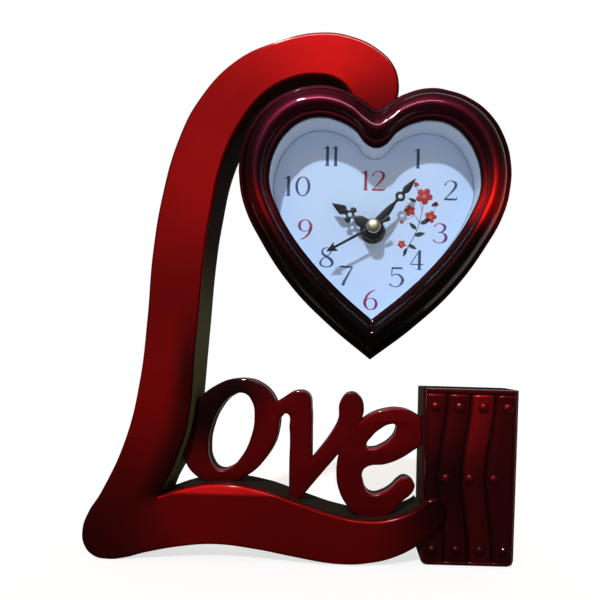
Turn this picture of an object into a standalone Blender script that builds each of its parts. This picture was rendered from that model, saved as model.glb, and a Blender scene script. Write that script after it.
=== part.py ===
"""Pen holder clock: a curled stand with openwork letters, a pen cup and a heart-shaped clock.

Metres, +Z up, the front faces -Y. The origin lies on the ground under the middle of the object.
Depths are measured backwards from the stand's front face; outlines are drawn in millimetres.
"""

import math

import bmesh
import bpy
from mathutils import Matrix, Vector

# General
MM = 0.001
GAP = 0.0003
DRAWING_X = -0.0008
DRAWING_Z = 0.0005

# Stand moulding and its back cover
STAND_DEPTH = 0.027
STAND_WALL = 0.0022
STAND_EDGE = 0.0012
COVER_THICKNESS = 0.002
TONGUE_THICKNESS = 0.0025
TONGUE_ROOM = 0.0025
TONGUE_WIDTH = 0.0090

# Openwork letters
LETTER_SETBACK = 0.009
LETTER_THICKNESS = 0.010
LETTER_EDGE = 0.0012
TAB_MARGIN = 0.0025

# Pen cup with its planked front
CUP_MIDDLE = 0.0866
CUP_WIDTH = 0.0496
CUP_HEIGHT = 0.0918
CUP_DRAFT = 0.0006
CUP_SETBACK = 0.0033
CUP_DEPTH = 0.0302
CUP_WALL = 0.0018
CUP_CORNER = 0.0035
PANEL_INSET = 0.0012
PANEL_THICKNESS = 0.0020
PANEL_EDGE = 0.0008
GROOVE_RADIUS = 0.0008
PLANKS = 4
LIP_HEIGHT = 0.0024
FRAME_WIDTH = 0.0016
RIVET_RADIUS = 0.00275
RIVET_HEIGHT = 0.0014
RIVET_FROM_TOP = 0.0095
RIVET_FROM_FOOT = 0.0082

# Heart clock
CLOCK_X = 0.0332
PIVOT_Z = 0.1740
BEZEL_WIDTH = 0.0155
BEZEL_CROWN = 0.0090
BEZEL_SKIRT = 0.0026
BEZEL_LIP = 0.0049
LIP_THICKNESS = 0.0013
RAIL_DEPTH = 0.0030
CASE_INSET = 0.0037
CASE_WALL = 0.0020
CASE_EDGE = 0.0008
LENS_THICKNESS = 0.0015
PAN_WALL = 0.0014
CARD_THICKNESS = 0.0005
CASE_POST_RADIUS = 0.0030
POST_SEAT = 0.0090

# Screws
SCREW_RADIUS = 0.0011
SCREW_HEAD_RADIUS = 0.0021
SCREW_HEAD_HEIGHT = 0.0016
SCREW_BITE = 0.0080
BOSS_RADIUS = 0.0032

# Quartz movement
MOVEMENT_BELOW = 0.0220
MOVEMENT_ABOVE = 0.0340
MOVEMENT_DEPTH = 0.0158
MOVEMENT_WALL = 0.0015
MOVEMENT_CORNER = 0.0020
MOVEMENT_SPLIT = 0.0085
BATTERY_RADIUS = 0.0071
BATTERY_LENGTH = 0.0505
BATTERY_EDGE = 0.0007
NUB_RADIUS = 0.0028
NUB_HEIGHT = 0.0013
CONTACT_THICKNESS = 0.0004
CONTACT_WIDTH = 0.0060
KNOB_RADIUS = 0.0060
KNOB_HEIGHT = 0.0025
KNOB_RECESS = 0.0015
SETTING_OFFSET = 0.0096
WHEEL_THICKNESS = 0.0008
WHEEL_PITCH = 0.0014
HOUR_WHEEL_RADIUS = 0.0076
SETTING_WHEEL_RADIUS = 0.0070
CENTRE_WHEEL_RADIUS = 0.0072
SECOND_WHEEL_RADIUS = 0.0064

# Dial work
SECOND_SHAFT_RADIUS = 0.00065
TUBE_WALL = 0.0007
BUSH_WALL = 0.00105
BUSH_END = 0.0007
WASHER_WIDTH = 0.0025
WASHER_THICKNESS = 0.0005
NUT_WALL = 0.0017
NUT_HEIGHT = 0.0024
HAND_THICKNESS = 0.0005
HAND_PITCH = 0.0028
HAND_CLEARANCE = 0.0016
HUB_WIDTH = 0.0016
CAP_RADIUS = 0.00325
CAP_HEIGHT = 0.0019
HOUR_ANGLE = 300.2
MINUTE_ANGLE = 39.4
SECOND_ANGLE = 240.3

# Places that other values give
FRONT_Y = (BEZEL_CROWN - CUP_SETBACK - CUP_DEPTH) / 2
CUP_LEFT = CUP_MIDDLE - CUP_WIDTH / 2
CUP_BACK = CUP_SETBACK + CUP_DEPTH
CUP_BODY_FRONT = CUP_SETBACK + PANEL_THICKNESS + GAP
PLANK_WIDTH = CUP_WIDTH / PLANKS
COVER_FRONT = STAND_DEPTH - COVER_THICKNESS
TONGUE_DEPTH = COVER_FRONT - TONGUE_ROOM - TONGUE_THICKNESS
HOLE_RADIUS = SCREW_RADIUS + GAP
WELL_RADIUS = SCREW_HEAD_RADIUS + GAP

# Depths from the lens to the movement, each piece behind the one before it
LENS_FRONT = LIP_THICKNESS - BEZEL_LIP + GAP
LENS_BACK = LENS_FRONT + LENS_THICKNESS
CAP_BACK = LENS_BACK + GAP + CAP_HEIGHT
SECOND_HAND_BACK = CAP_BACK + 2 * GAP + HAND_THICKNESS
MINUTE_HAND_BACK = SECOND_HAND_BACK + HAND_PITCH
HOUR_HAND_BACK = MINUTE_HAND_BACK + HAND_PITCH
BUSH_FRONT = HOUR_HAND_BACK + HAND_CLEARANCE
NUT_BACK = BUSH_FRONT + BUSH_END + NUT_HEIGHT
WASHER_BACK = NUT_BACK + GAP + WASHER_THICKNESS
DIAL_DEPTH = WASHER_BACK + GAP
CARD_BACK = DIAL_DEPTH + CARD_THICKNESS
PAN_FLOOR = CARD_BACK + GAP
PAN_BACK = PAN_FLOOR + PAN_WALL
MOVEMENT_FRONT = PAN_BACK + GAP
SPLIT_DEPTH = MOVEMENT_FRONT + MOVEMENT_SPLIT
MOVEMENT_BACK = MOVEMENT_FRONT + MOVEMENT_DEPTH

# Radii of the tubes that turn inside one another, from the middle outwards
MINUTE_TUBE_BORE = SECOND_SHAFT_RADIUS + GAP
MINUTE_TUBE_RADIUS = MINUTE_TUBE_BORE + TUBE_WALL
HOUR_TUBE_BORE = MINUTE_TUBE_RADIUS + GAP
HOUR_TUBE_RADIUS = HOUR_TUBE_BORE + TUBE_WALL
BUSH_BORE = HOUR_TUBE_RADIUS + GAP
BUSH_RADIUS = BUSH_BORE + BUSH_WALL
NUT_BORE = BUSH_RADIUS + GAP

# The movement is as wide as its battery and contacts
MOVEMENT_WIDTH = BATTERY_LENGTH + 2 * (CONTACT_THICKNESS + 2 * GAP + MOVEMENT_WALL)
BATTERY_Z = PIVOT_Z + MOVEMENT_ABOVE - MOVEMENT_WALL - BATTERY_RADIUS - 2 * GAP
BATTERY_DEPTH = MOVEMENT_FRONT + MOVEMENT_WALL + BATTERY_RADIUS + GAP
BAY_LOW = BATTERY_Z - BATTERY_RADIUS - 2 * GAP
BAY_HIGH = BATTERY_Z + BATTERY_RADIUS + 2 * GAP

# Motion work
SETTING_Z = PIVOT_Z - SETTING_OFFSET
SETTING_PINION_RADIUS = SETTING_OFFSET - HOUR_WHEEL_RADIUS - GAP
CANNON_RADIUS = SETTING_OFFSET - SETTING_WHEEL_RADIUS - GAP
HOUR_WHEEL_DEPTH = MOVEMENT_FRONT + MOVEMENT_WALL + GAP
CANNON_DEPTH = HOUR_WHEEL_DEPTH + WHEEL_PITCH
CENTRE_WHEEL_DEPTH = CANNON_DEPTH + WHEEL_PITCH
SECOND_WHEEL_DEPTH = CENTRE_WHEEL_DEPTH + WHEEL_PITCH

# The stand's outline, clockwise from the top of the stem's outer side
STAND_OUTLINE = [
    (-38.7, 256.0), (-57.3, 235.1), (-67.1, 214.4), (-74.4, 186.0), (-78.6, 155.0),
    (-80.3, 124.0), (-83.3, 91.5), (-89.7, 61.5), (-101.9, 33.0), (-107.8, 23.2),
    (-110.6, 14.2), (-109.4, 6.2), (-104.6, 1.1), (-97.5, -0.5), (-89.0, 0.4),
    (-78.0, 3.4), (-60.0, 7.0), (-42.8, 8.5), (-22.3, 6.6), (-1.8, 3.1),
    (14.0, 0.6), (24.0, 0.0), (34.0, 0.6), (50.0, 4.6), (64.7, 13.3),
    (72.6, 20.8), (75.5, 27.2), (73.6, 33.0), (67.8, 34.6), (58.7, 28.4),
    (47.6, 24.0), (35.9, 22.6), (18.5, 25.0), (-1.0, 30.9), (-20.1, 36.9),
    (-40.6, 39.4), (-57.8, 37.2), (-71.2, 32.7, "corner"), (-68.9, 38.7), (-65.6, 45.2),
    (-62.5, 53.8), (-59.8, 61.6), (-58.1, 69.0), (-56.9, 78.0), (-56.2, 89.0),
    (-55.4, 103.0), (-54.0, 125.0), (-52.3, 152.0), (-49.3, 177.5), (-42.9, 207.8),
    (-34.5, 225.3), (-24.0, 238.8), (-11.7, 246.6), (3.0, 249.6), (14.2, 247.0),
    (20.8, 240.0), (25.0, 226.0, "corner"), (41.5, 226.0, "corner"), (44.4, 238.0), (45.0, 247.0),
    (42.2, 255.8), (34.6, 263.6), (21.0, 270.0), (4.0, 271.8), (-17.5, 266.6),
]

# Openwork letters, drawn wider where the stand and the cup then trim them
O_OUTER = {"centre": (-38.0, 65.6), "half": (23.6, 29.9), "lean": 34.0}
O_INNER = {"centre": (-37.5, 65.4), "half": (10.6, 21.0), "lean": 16.5}
V_OUTLINE = [
    (-17.5, 78.0), (-10.5, 84.2), (-3.0, 88.1), (2.6, 86.4), (4.6, 78.0),
    (5.0, 66.0), (5.3, 52.5, "corner"), (15.2, 66.4), (18.5, 73.6), (19.3, 82.6),
    (24.6, 87.9), (29.9, 85.6), (32.0, 80.2), (31.0, 73.6), (26.0, 62.0),
    (18.3, 53.9, "corner"), (2.8, 34.7), (-3.0, 27.0, "corner"), (-6.2, 27.0, "corner"), (-6.7, 48.0),
    (-7.1, 68.0), (-8.6, 75.4), (-12.0, 73.0), (-18.0, 66.0),
]
E_OUTLINE = [
    (28.0, 70.5), (35.2, 76.4), (42.6, 79.3), (50.2, 80.2), (58.4, 78.0),
    (64.2, 73.2), (66.2, 67.4), (64.0, 62.0), (59.0, 58.1), (51.7, 53.3),
    (43.9, 50.2), (34.6, 48.6), (32.2, 46.0), (32.6, 40.6), (34.6, 36.0),
    (38.0, 34.4), (42.4, 35.4), (47.4, 38.5), (51.0, 42.2), (54.2, 43.9),
    (57.4, 43.0), (59.8, 40.0), (59.2, 36.6), (57.2, 34.0), (54.4, 31.6),
    (47.0, 24.0), (38.0, 20.0), (29.0, 23.5), (23.4, 29.2), (19.8, 36.2),
    (18.3, 44.1), (18.9, 53.0), (22.0, 62.0),
]
E_EYE = [
    (34.2, 59.2), (37.0, 65.1), (40.8, 68.6), (45.8, 71.3), (48.8, 71.0),
    (48.7, 67.4), (46.2, 63.6), (41.6, 60.2), (37.0, 58.6),
]
LETTER_TABS = [(-44.0, -36.0, 29.0, 41.0), (-5.6, -1.6, 21.0, 34.0), (32.0, 40.0, 14.0, 27.0)]

# Half of the heart, from the hands' axis: the bezel's outer edge and its inner lip, point for point
HEART_OUTER = [
    (0.0, 58.7), (6.7, 62.4), (14.0, 66.6), (26.7, 70.0), (36.8, 68.9),
    (47.1, 65.3), (57.4, 57.7), (64.9, 46.4), (68.6, 33.4), (68.6, 20.3),
    (65.5, 7.1), (57.4, -8.8), (41.5, -31.5), (21.6, -51.1), (0.0, -68.2, "corner"),
]
HEART_INNER = [
    (0.0, 38.1), (4.6, 39.7), (11.0, 46.7), (20.5, 51.5), (29.0, 52.6),
    (37.5, 50.5), (45.3, 44.1), (50.6, 35.1), (53.0, 25.5), (52.7, 17.0),
    (49.6, 8.5), (43.5, -3.0), (31.5, -18.9), (16.3, -34.4), (0.0, -48.2, "corner"),
]

# The bezel's front from its skirt to its lip: share of its width, share of its crown's height
BEZEL_FRONT = [(0.17, 0.42), (0.27, 0.77), (0.43, 1.00), (0.60, 0.94), (0.78, 0.76), (0.82, 0.64)]

# A joint between two planks: how far it sways sideways in millimetres, at a share of the height
PLANK_JOINT = [
    (0.0, 0.017), (-0.1, 0.087), (-0.6, 0.169), (-1.9, 0.272), (-3.5, 0.387), (-4.3, 0.479),
    (-4.2, 0.545), (-3.2, 0.654), (-2.0, 0.741), (-0.9, 0.822), (-0.2, 0.904), (0.0, 0.974),
]

# Screw places as x and z in millimetres: the first and last cover screws also hold the tongues, and the
# case screws are placed from the hands' axis
COVER_SCREWS = [(33.0, 243.0), (-21.5, 251.5), (-66.8, 131.0), (-86.0, 24.0), (0.0, 17.0), (54.0, 16.0)]
CASE_SCREWS = [(41.3, 56.1), (49.3, -5.5), (-49.3, -5.5), (-41.3, 56.1)]

# Hands, drawn upright in millimetres from their axis: the right side of each, and its eye's centre and radius
HOUR_BLADE = [
    (0.0, 0.0), (1.7, 2.5), (2.4, 7.5), (1.6, 11.0), (0.8, 12.6), (1.7, 13.4), (4.2, 12.4),
    (5.4, 13.6), (5.2, 15.6), (4.0, 16.6), (2.0, 15.8), (1.6, 16.6), (2.5, 18.0), (1.5, 21.5), (0.0, 25.5),
]
HOUR_EYE = (14.6, 1.1)
MINUTE_BLADE = [
    (0.0, 0.0), (1.9, 3.0), (1.7, 9.0), (0.9, 19.0), (2.2, 20.2), (2.6, 22.6),
    (1.5, 23.2), (1.9, 25.5), (1.3, 29.5), (0.0, 34.0),
]
MINUTE_EYE = (21.5, 1.0)
SECOND_BLADE = [
    (1.5, -9.4), (0.9, -7.0), (0.55, 0.0), (0.5, 22.6), (2.6, 21.8), (0.0, 27.5),
]

# Colours: red, green, blue, roughness, metallic
FINISHES = {
    "cherry_red": (0.46, 0.012, 0.014, 0.12, 0.0),
    "dark_cherry": (0.16, 0.006, 0.012, 0.15, 0.0),
    "clear": (0.90, 0.94, 0.96, 0.03, 0.0),
    "pale_grey": (0.62, 0.66, 0.74, 0.35, 0.0),
    "dial_white": (0.78, 0.86, 0.98, 0.45, 0.0),
    "black_plastic": (0.02, 0.02, 0.022, 0.40, 0.0),
    "black_paint": (0.008, 0.010, 0.014, 0.30, 0.0),
    "white_plastic": (0.80, 0.79, 0.74, 0.40, 0.0),
    "brass": (0.80, 0.58, 0.25, 0.25, 1.0),
    "steel": (0.60, 0.61, 0.63, 0.30, 1.0),
    "battery_wrap": (0.05, 0.10, 0.22, 0.35, 0.0),
}


def clear_scene():
    for obj in list(bpy.data.objects):
        bpy.data.objects.remove(obj)


def make_collection(name):
    collection = bpy.data.collections.new(name)
    bpy.context.scene.collection.children.link(collection)
    return collection


def make_finishes():
    made = {}
    for name, (red, green, blue, roughness, metallic) in FINISHES.items():
        material = bpy.data.materials.new(name)
        material.use_nodes = True
        shader = material.node_tree.nodes["Principled BSDF"]
        shader.inputs["Base Color"].default_value = (red, green, blue, 1.0)
        shader.inputs["Roughness"].default_value = roughness
        shader.inputs["Metallic"].default_value = metallic
        made[name] = material
    return made


clear_scene()
PARTS = make_collection("pen_holder_clock")
CUTTERS = make_collection("cutters")
MATERIALS = make_finishes()


# Helpers


def y_at(depth):
    return FRONT_Y + depth


def add_object(name, data, finish=None):
    """Links an object: a part when it has a finish, and a cutter when it has none."""
    obj = bpy.data.objects.new(name, data)
    if finish:
        PARTS.objects.link(obj)
        data.materials.append(MATERIALS[finish])
    else:
        CUTTERS.objects.link(obj)
        obj.hide_render = True
        obj.display_type = "WIRE"
    return obj


def shade(obj, degrees=50):
    obj.data.shade_smooth()
    obj.data.set_sharp_from_angle(angle=math.radians(degrees))
    return obj


def mesh_from(bm, name):
    mesh = bpy.data.meshes.new(name)
    bm.to_mesh(mesh)
    bm.free()
    return mesh


def boolean(target, tool, operation):
    modifier = target.modifiers.new(f"{operation.lower()}_{tool.name}", "BOOLEAN")
    modifier.operation = operation
    modifier.object = tool
    return target


def cut(target, *tools):
    for tool in tools:
        boolean(target, tool, "DIFFERENCE")
    return target


def join(target, *tools):
    for tool in tools:
        boolean(target, tool, "UNION")
    return target


def curve_from(name, outlines, resolution):
    """A flat curve object in the front view, whose points are smooth unless marked as a corner."""
    curve = bpy.data.curves.new(name, "CURVE")
    curve.dimensions = "2D"
    curve.fill_mode = "BOTH"
    curve.resolution_u = resolution
    for outline in outlines:
        spline = curve.splines.new("BEZIER")
        spline.bezier_points.add(len(outline) - 1)
        spline.use_cyclic_u = True
        for point, place in zip(spline.bezier_points, outline):
            point.co = (place[0] * MM, place[1] * MM, 0.0)
            handle = "VECTOR" if len(place) == 3 else "AUTO"
            point.handle_left_type = handle
            point.handle_right_type = handle
    return curve


def solid_of(curve_object, name, finish=None):
    """The curve as a mesh object with welded caps, in the curve's place."""
    bpy.context.view_layer.update()
    graph = bpy.context.evaluated_depsgraph_get()
    mesh = bpy.data.meshes.new_from_object(curve_object.evaluated_get(graph))
    bm = bmesh.new()
    bm.from_mesh(mesh)
    bmesh.ops.remove_doubles(bm, verts=bm.verts, dist=1e-6)
    bmesh.ops.recalc_face_normals(bm, faces=bm.faces)
    bm.to_mesh(mesh)
    bm.free()
    solid = add_object(name, mesh, finish)
    solid.matrix_world = curve_object.matrix_world.copy()
    bpy.data.objects.remove(curve_object)
    return solid


def extruded(name, outlines, front, back, finish=None, offset=0.0, edge=0.0, rounding=0, resolution=2,
             place=(DRAWING_X, DRAWING_Z)):
    """Smooth closed outlines in millimetres, extruded between two depths, with bevelled or rounded edges."""
    curve = curve_from(name, outlines, resolution)
    curve.extrude = (back - front) / 2 - edge
    curve.bevel_depth = edge
    curve.bevel_resolution = rounding
    curve.offset = offset - edge
    holder = bpy.data.objects.new(f"{name}_outline", curve)
    CUTTERS.objects.link(holder)
    holder.rotation_euler.x = math.pi / 2
    holder.location = (place[0], y_at((front + back) / 2), place[1])
    return solid_of(holder, name, finish)


def sampled(outline):
    """The points in metres of a smooth closed outline."""
    curve = curve_from("guide", [outline], 2)
    curve.fill_mode = "NONE"
    holder = bpy.data.objects.new("guide", curve)
    CUTTERS.objects.link(holder)
    bpy.context.view_layer.update()
    graph = bpy.context.evaluated_depsgraph_get()
    mesh = bpy.data.meshes.new_from_object(holder.evaluated_get(graph))
    points = [(vertex.co.x, vertex.co.y) for vertex in mesh.vertices]
    bpy.data.objects.remove(holder)
    return points


def mirrored(half):
    """A whole outline from its right half, whose first and last points lie on the axis."""
    return half + [(-x, *rest) for x, *rest in reversed(half[1:-1])]


def box(name, low, high, finish=None, corner=0.0):
    """A box between two (x, depth, z) corners, with its upright edges rounded."""
    bm = bmesh.new()
    bmesh.ops.create_cube(bm, size=1.0)
    size = [b - a for a, b in zip(low, high)]
    middle = Vector([(a + b) / 2 for a, b in zip(low, high)])
    middle.y += FRONT_Y
    bm.transform(Matrix.Translation(middle) @ Matrix.Diagonal((*size, 1.0)))
    if corner:
        along_y = [e for e in bm.edges if abs(e.verts[0].co.y - e.verts[1].co.y) > size[1] / 2]
        bmesh.ops.bevel(bm, geom=along_y, offset=corner, segments=2, affect="EDGES", profile=0.5)
    return add_object(name, mesh_from(bm, name), finish)


def rods(name, places, front, back, radius, sides=12):
    """Round rods along the depth, as one cutter or one set of bosses; places are x and z in metres."""
    bm = bmesh.new()
    for x, z in places:
        turn = Matrix.Rotation(math.pi / 2, 4, "X")
        place = Matrix.Translation((x, y_at((front + back) / 2), z))
        bmesh.ops.create_cone(
            bm, cap_ends=True, segments=sides, radius1=radius, radius2=radius,
            depth=back - front, matrix=place @ turn,
        )
    return add_object(name, mesh_from(bm, name))


def turned(name, place, profile, finish=None, steps=16, closed=False):
    """A profile of (radius, depth), front to back along its outer side, turned about the place's axis."""
    mesh = bpy.data.meshes.new(name)
    points = [(radius, 0.0, -depth) for radius, depth in profile]
    edges = [(i, i + 1) for i in range(len(points) - 1)]
    if closed:
        edges.append((len(points) - 1, 0))
    mesh.from_pydata(points, edges, [])
    obj = add_object(name, mesh, finish)
    obj.location = (place[0], FRONT_Y, place[1])
    obj.rotation_euler = (math.pi / 2, 0.0, 0.0)
    screw = obj.modifiers.new("turn", "SCREW")
    screw.steps = steps
    screw.render_steps = steps
    screw.angle = math.tau
    screw.use_merge_vertices = True
    screw.merge_threshold = 1e-5
    screw.use_smooth_shade = False
    return obj


def drawn(places):
    """Drawing places in millimetres as metres."""
    return [(x * MM + DRAWING_X, z * MM + DRAWING_Z) for x, z in places]


# Heart outlines

OUTER_RING = sampled(mirrored(HEART_OUTER))
INNER_RING = sampled(mirrored(HEART_INNER))


def heart_ring(inset):
    """The heart's outline at a distance inside the bezel's outer edge."""
    share = inset / BEZEL_WIDTH
    return [
        (CLOCK_X + a[0] + (b[0] - a[0]) * share, PIVOT_Z + a[1] + (b[1] - a[1]) * share)
        for a, b in zip(OUTER_RING, INNER_RING)
    ]


def heart_plate(name, inset, front, back, finish=None, edge=0.0):
    """A heart-shaped plate or block."""
    points = [(x / MM, z / MM, "corner") for x, z in heart_ring(inset)]
    return extruded(name, [points], front, back, finish, edge=edge, resolution=1, place=(0.0, 0.0))


def heart_band(name, section, finish):
    """A closed section carried round the heart; its points are inset and depth."""
    bm = bmesh.new()
    rings = []
    for inset, depth in section:
        rings.append([bm.verts.new((x, y_at(depth), z)) for x, z in heart_ring(inset)])
    count = len(rings[0])
    for ring, following in zip(rings, rings[1:] + rings[:1]):
        for i in range(count):
            j = (i + 1) % count
            bm.faces.new((ring[i], ring[j], following[j], following[i]))
    bmesh.ops.recalc_face_normals(bm, faces=bm.faces)
    return add_object(name, mesh_from(bm, name), finish)


# Pen cup


def cup_block(name, grow, front, back, low=0.0, high=CUP_HEIGHT, finish=None, rounded=False):
    """The cup's tapering block, grown or shrunk by a margin, with its outer edges rounded if asked."""
    bm = bmesh.new()
    bmesh.ops.create_cube(bm, size=1.0)
    for vertex in bm.verts:
        x, y, z = vertex.co
        draft = CUP_DRAFT * (CUP_HEIGHT - (high if z > 0 else low)) / CUP_HEIGHT
        side = CUP_WIDTH / 2 - draft + grow
        vertex.co = (
            CUP_MIDDLE + math.copysign(side, x),
            y_at(back if y > 0 else front),
            high if z > 0 else low,
        )
    if rounded:
        def at_back(edge):
            return all(v.co.y > y_at(back) - GAP for v in edge.verts)

        def at_foot(edge):
            return all(v.co.z < low + GAP for v in edge.verts)

        def upright(edge):
            return abs(edge.verts[0].co.z - edge.verts[1].co.z) > CUP_WALL

        def at_front(edge):
            return all(v.co.y < y_at(front) + GAP for v in edge.verts)

        big = [e for e in bm.edges if (upright(e) and at_back(e)) or (at_foot(e) and not at_front(e))]
        bmesh.ops.bevel(bm, geom=big, offset=CUP_CORNER, segments=3, affect="EDGES", profile=0.5)
    return add_object(name, mesh_from(bm, name), finish)


def make_pen_cup():
    cup = cup_block("pen_cup", 0.0, CUP_BODY_FRONT, CUP_BACK, finish="dark_cherry", rounded=True)
    inside = cup_block(
        "cup_inside", -CUP_WALL, CUP_BODY_FRONT + CUP_WALL, CUP_BACK - CUP_WALL,
        low=CUP_WALL, high=CUP_HEIGHT + CUP_WALL,
    )
    tongue_x, tongue_z = drawn(COVER_SCREWS)[-1]
    half = TONGUE_WIDTH / 2
    tongue = box(
        "cup_tongue",
        (tongue_x - half, TONGUE_DEPTH, tongue_z - half),
        (CUP_LEFT + CUP_WALL, TONGUE_DEPTH + TONGUE_THICKNESS, tongue_z + half),
    )
    hole = rods("cup_tongue_hole", [(tongue_x, tongue_z)], TONGUE_DEPTH - GAP,
                TONGUE_DEPTH + TONGUE_THICKNESS + GAP, HOLE_RADIUS)
    join(cup, tongue)
    return shade(cut(cup, inside, hole))


def make_cup_front_panel():
    front = CUP_SETBACK
    back = CUP_SETBACK + PANEL_THICKNESS
    panel = cup_block("cup_front_panel", -PANEL_INSET, front, back, low=PANEL_INSET, finish="dark_cherry")
    bevel = panel.modifiers.new("rounded_border", "BEVEL")
    bevel.width = PANEL_EDGE
    bevel.segments = 1
    lip = CUP_HEIGHT - LIP_HEIGHT
    grooves = bpy.data.curves.new("plank_joint_lines", "CURVE")
    grooves.dimensions = "3D"
    grooves.bevel_depth = GROOVE_RADIUS
    grooves.bevel_resolution = 0
    grooves.use_fill_caps = True
    for joint in range(1 - PLANKS // 2, PLANKS // 2):
        spline = grooves.splines.new("POLY")
        spline.points.add(len(PLANK_JOINT) - 1)
        for point, (sway, height) in zip(spline.points, PLANK_JOINT):
            x = CUP_MIDDLE + joint * PLANK_WIDTH + sway * MM
            point.co = (x, y_at(front), min(height * CUP_HEIGHT + PANEL_INSET, lip), 1.0)
    holder = bpy.data.objects.new("plank_joint_lines", grooves)
    CUTTERS.objects.link(holder)
    joints = solid_of(holder, "plank_joints")
    reach = CUP_WIDTH / 2 - PANEL_INSET - FRAME_WIDTH
    under_lip = box(
        "groove_under_lip",
        (CUP_MIDDLE - reach, front - GROOVE_RADIUS, lip - GROOVE_RADIUS),
        (CUP_MIDDLE + reach, front + GROOVE_RADIUS * 0.6, lip + GROOVE_RADIUS / 2),
    )
    rivets = bmesh.new()
    top = CUP_HEIGHT - RIVET_FROM_TOP
    rows = ((top, PLANKS), ((top + RIVET_FROM_FOOT) / 2, PLANKS - 1), (RIVET_FROM_FOOT, PLANKS))
    for height, count in rows:
        for i in range(count):
            place = (i - (count - 1) / 2) * PLANK_WIDTH
            dome = Matrix.Translation((CUP_MIDDLE + place, y_at(front), height))
            dome @= Matrix.Diagonal((RIVET_RADIUS, RIVET_HEIGHT, RIVET_RADIUS, 1.0))
            dome @= Matrix.Rotation(math.pi / 2, 4, "X")
            bmesh.ops.create_uvsphere(rivets, u_segments=10, v_segments=6, radius=1.0, matrix=dome)
    domes = add_object("rivet_domes", mesh_from(rivets, "rivet_domes"))
    return shade(join(cut(panel, joints, under_lip), domes))


# Stand


def stand_block(name, grow, front, back, edge=0.0, finish=None):
    return extruded(name, [STAND_OUTLINE], front, back, finish, offset=grow, edge=edge, rounding=1)


def tongue_slot(name, place, grow, to_x=None, to_z=None):
    """The room of a fixing tongue, which reaches sideways or downwards out of the stand."""
    x, z = place
    half = TONGUE_WIDTH / 2 + grow
    low = [x - half, TONGUE_DEPTH - grow, z - half]
    high = [x + half, TONGUE_DEPTH + TONGUE_THICKNESS + grow, z + half]
    if to_x is not None:
        high[0] = to_x
    if to_z is not None:
        low[2] = to_z
    return box(name, low, high)


def letter_tab(name, tab, grow):
    """A tab under the letters, or with a margin its slot in the foot."""
    left, right, low, high = tab
    (low_x, low_z), (high_x, high_z) = drawn([(left, low), (right, high)])
    return box(
        name,
        (low_x - grow, LETTER_SETBACK + TAB_MARGIN - grow, low_z - grow),
        (high_x + grow, LETTER_SETBACK + LETTER_THICKNESS - TAB_MARGIN + grow, high_z + grow),
    )


def make_stand_shell():
    past = STAND_DEPTH + STAND_WALL
    shell = stand_block("stand_shell", 0.0, 0.0, STAND_DEPTH, STAND_EDGE, "cherry_red")
    hollow = stand_block("stand_hollow", -STAND_WALL, STAND_WALL, past)
    wall_at_cup = cup_block("wall_at_cup", STAND_WALL + GAP, 0.0, past + STAND_WALL, high=CUP_HEIGHT / 2)
    wall_at_clock = heart_plate("wall_at_clock", CASE_INSET - STAND_WALL - GAP, 0.0, past + STAND_WALL)
    cut(hollow, wall_at_cup, wall_at_clock)
    room_for_cup = cup_block("room_for_cup", GAP, CUP_SETBACK - GAP, past, low=-STAND_WALL)
    room_for_clock = heart_plate("room_for_clock", CASE_INSET - GAP, -STAND_WALL, past)
    screw_places = drawn(COVER_SCREWS)
    at_tongues = [screw_places[0], screw_places[-1]]
    between = screw_places[1:-1]
    low_bosses = rods("tongue_bosses", at_tongues, STAND_WALL / 2, TONGUE_DEPTH - GAP, BOSS_RADIUS)
    high_bosses = rods("cover_bosses", between, STAND_WALL / 2, COVER_FRONT - GAP, BOSS_RADIUS)
    low_holes = rods("tongue_boss_holes", at_tongues, TONGUE_DEPTH - SCREW_BITE - 3 * GAP, past,
                     HOLE_RADIUS, 8)
    high_holes = rods("cover_boss_holes", between, COVER_FRONT - SCREW_BITE - 3 * GAP, past,
                      HOLE_RADIUS, 8)
    cup_slot = tongue_slot("cup_slot", screw_places[-1], GAP, to_x=CUP_MIDDLE)
    clock_slot = tongue_slot("clock_slot", screw_places[0], GAP, to_z=PIVOT_Z)
    cut(shell, hollow, room_for_cup, room_for_clock)
    join(shell, low_bosses, high_bosses)
    cut(shell, low_holes, high_holes, cup_slot, clock_slot)
    for i, tab in enumerate(LETTER_TABS):
        slot = letter_tab(f"letter_slot_{i}", tab, GAP)
        cut(shell, slot)
    return shade(shell)


def make_stand_back_cover():
    cover = stand_block("stand_back_cover", -STAND_WALL - GAP, COVER_FRONT, STAND_DEPTH,
                        finish="dark_cherry")
    past = STAND_DEPTH + STAND_WALL
    at_cup = cup_block("cover_end_at_cup", STAND_WALL + 2 * GAP, 0.0, past, high=CUP_HEIGHT / 2)
    at_clock = heart_plate("cover_end_at_clock", CASE_INSET - STAND_WALL - 2 * GAP, 0.0, past)
    holes = rods("cover_holes", drawn(COVER_SCREWS), COVER_FRONT - GAP, past, HOLE_RADIUS, 8)
    return shade(cut(cover, at_cup, at_clock, holes))


def make_screw(name, place, head_seat, length):
    """A pan-head screw driven from behind; its head stands on the given depth."""
    under = head_seat + GAP
    top = under + SCREW_HEAD_HEIGHT
    profile = [
        (0.0, head_seat - length),
        (SCREW_RADIUS, head_seat - length + SCREW_RADIUS),
        (SCREW_RADIUS, under),
        (SCREW_HEAD_RADIUS, under),
        (SCREW_HEAD_RADIUS, under + SCREW_HEAD_HEIGHT / 2),
        (SCREW_HEAD_RADIUS * 0.6, top),
        (0.0, top),
    ]
    return shade(turned(name, place, profile, "steel", steps=8))


def make_cover_screws():
    for i, place in enumerate(drawn(COVER_SCREWS)):
        at_tongue = i in (0, len(COVER_SCREWS) - 1)
        seat = TONGUE_DEPTH if at_tongue else COVER_FRONT
        length = STAND_DEPTH - seat + SCREW_BITE
        make_screw(f"cover_screw_{i + 1}", place, STAND_DEPTH, length)


# Letters


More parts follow.
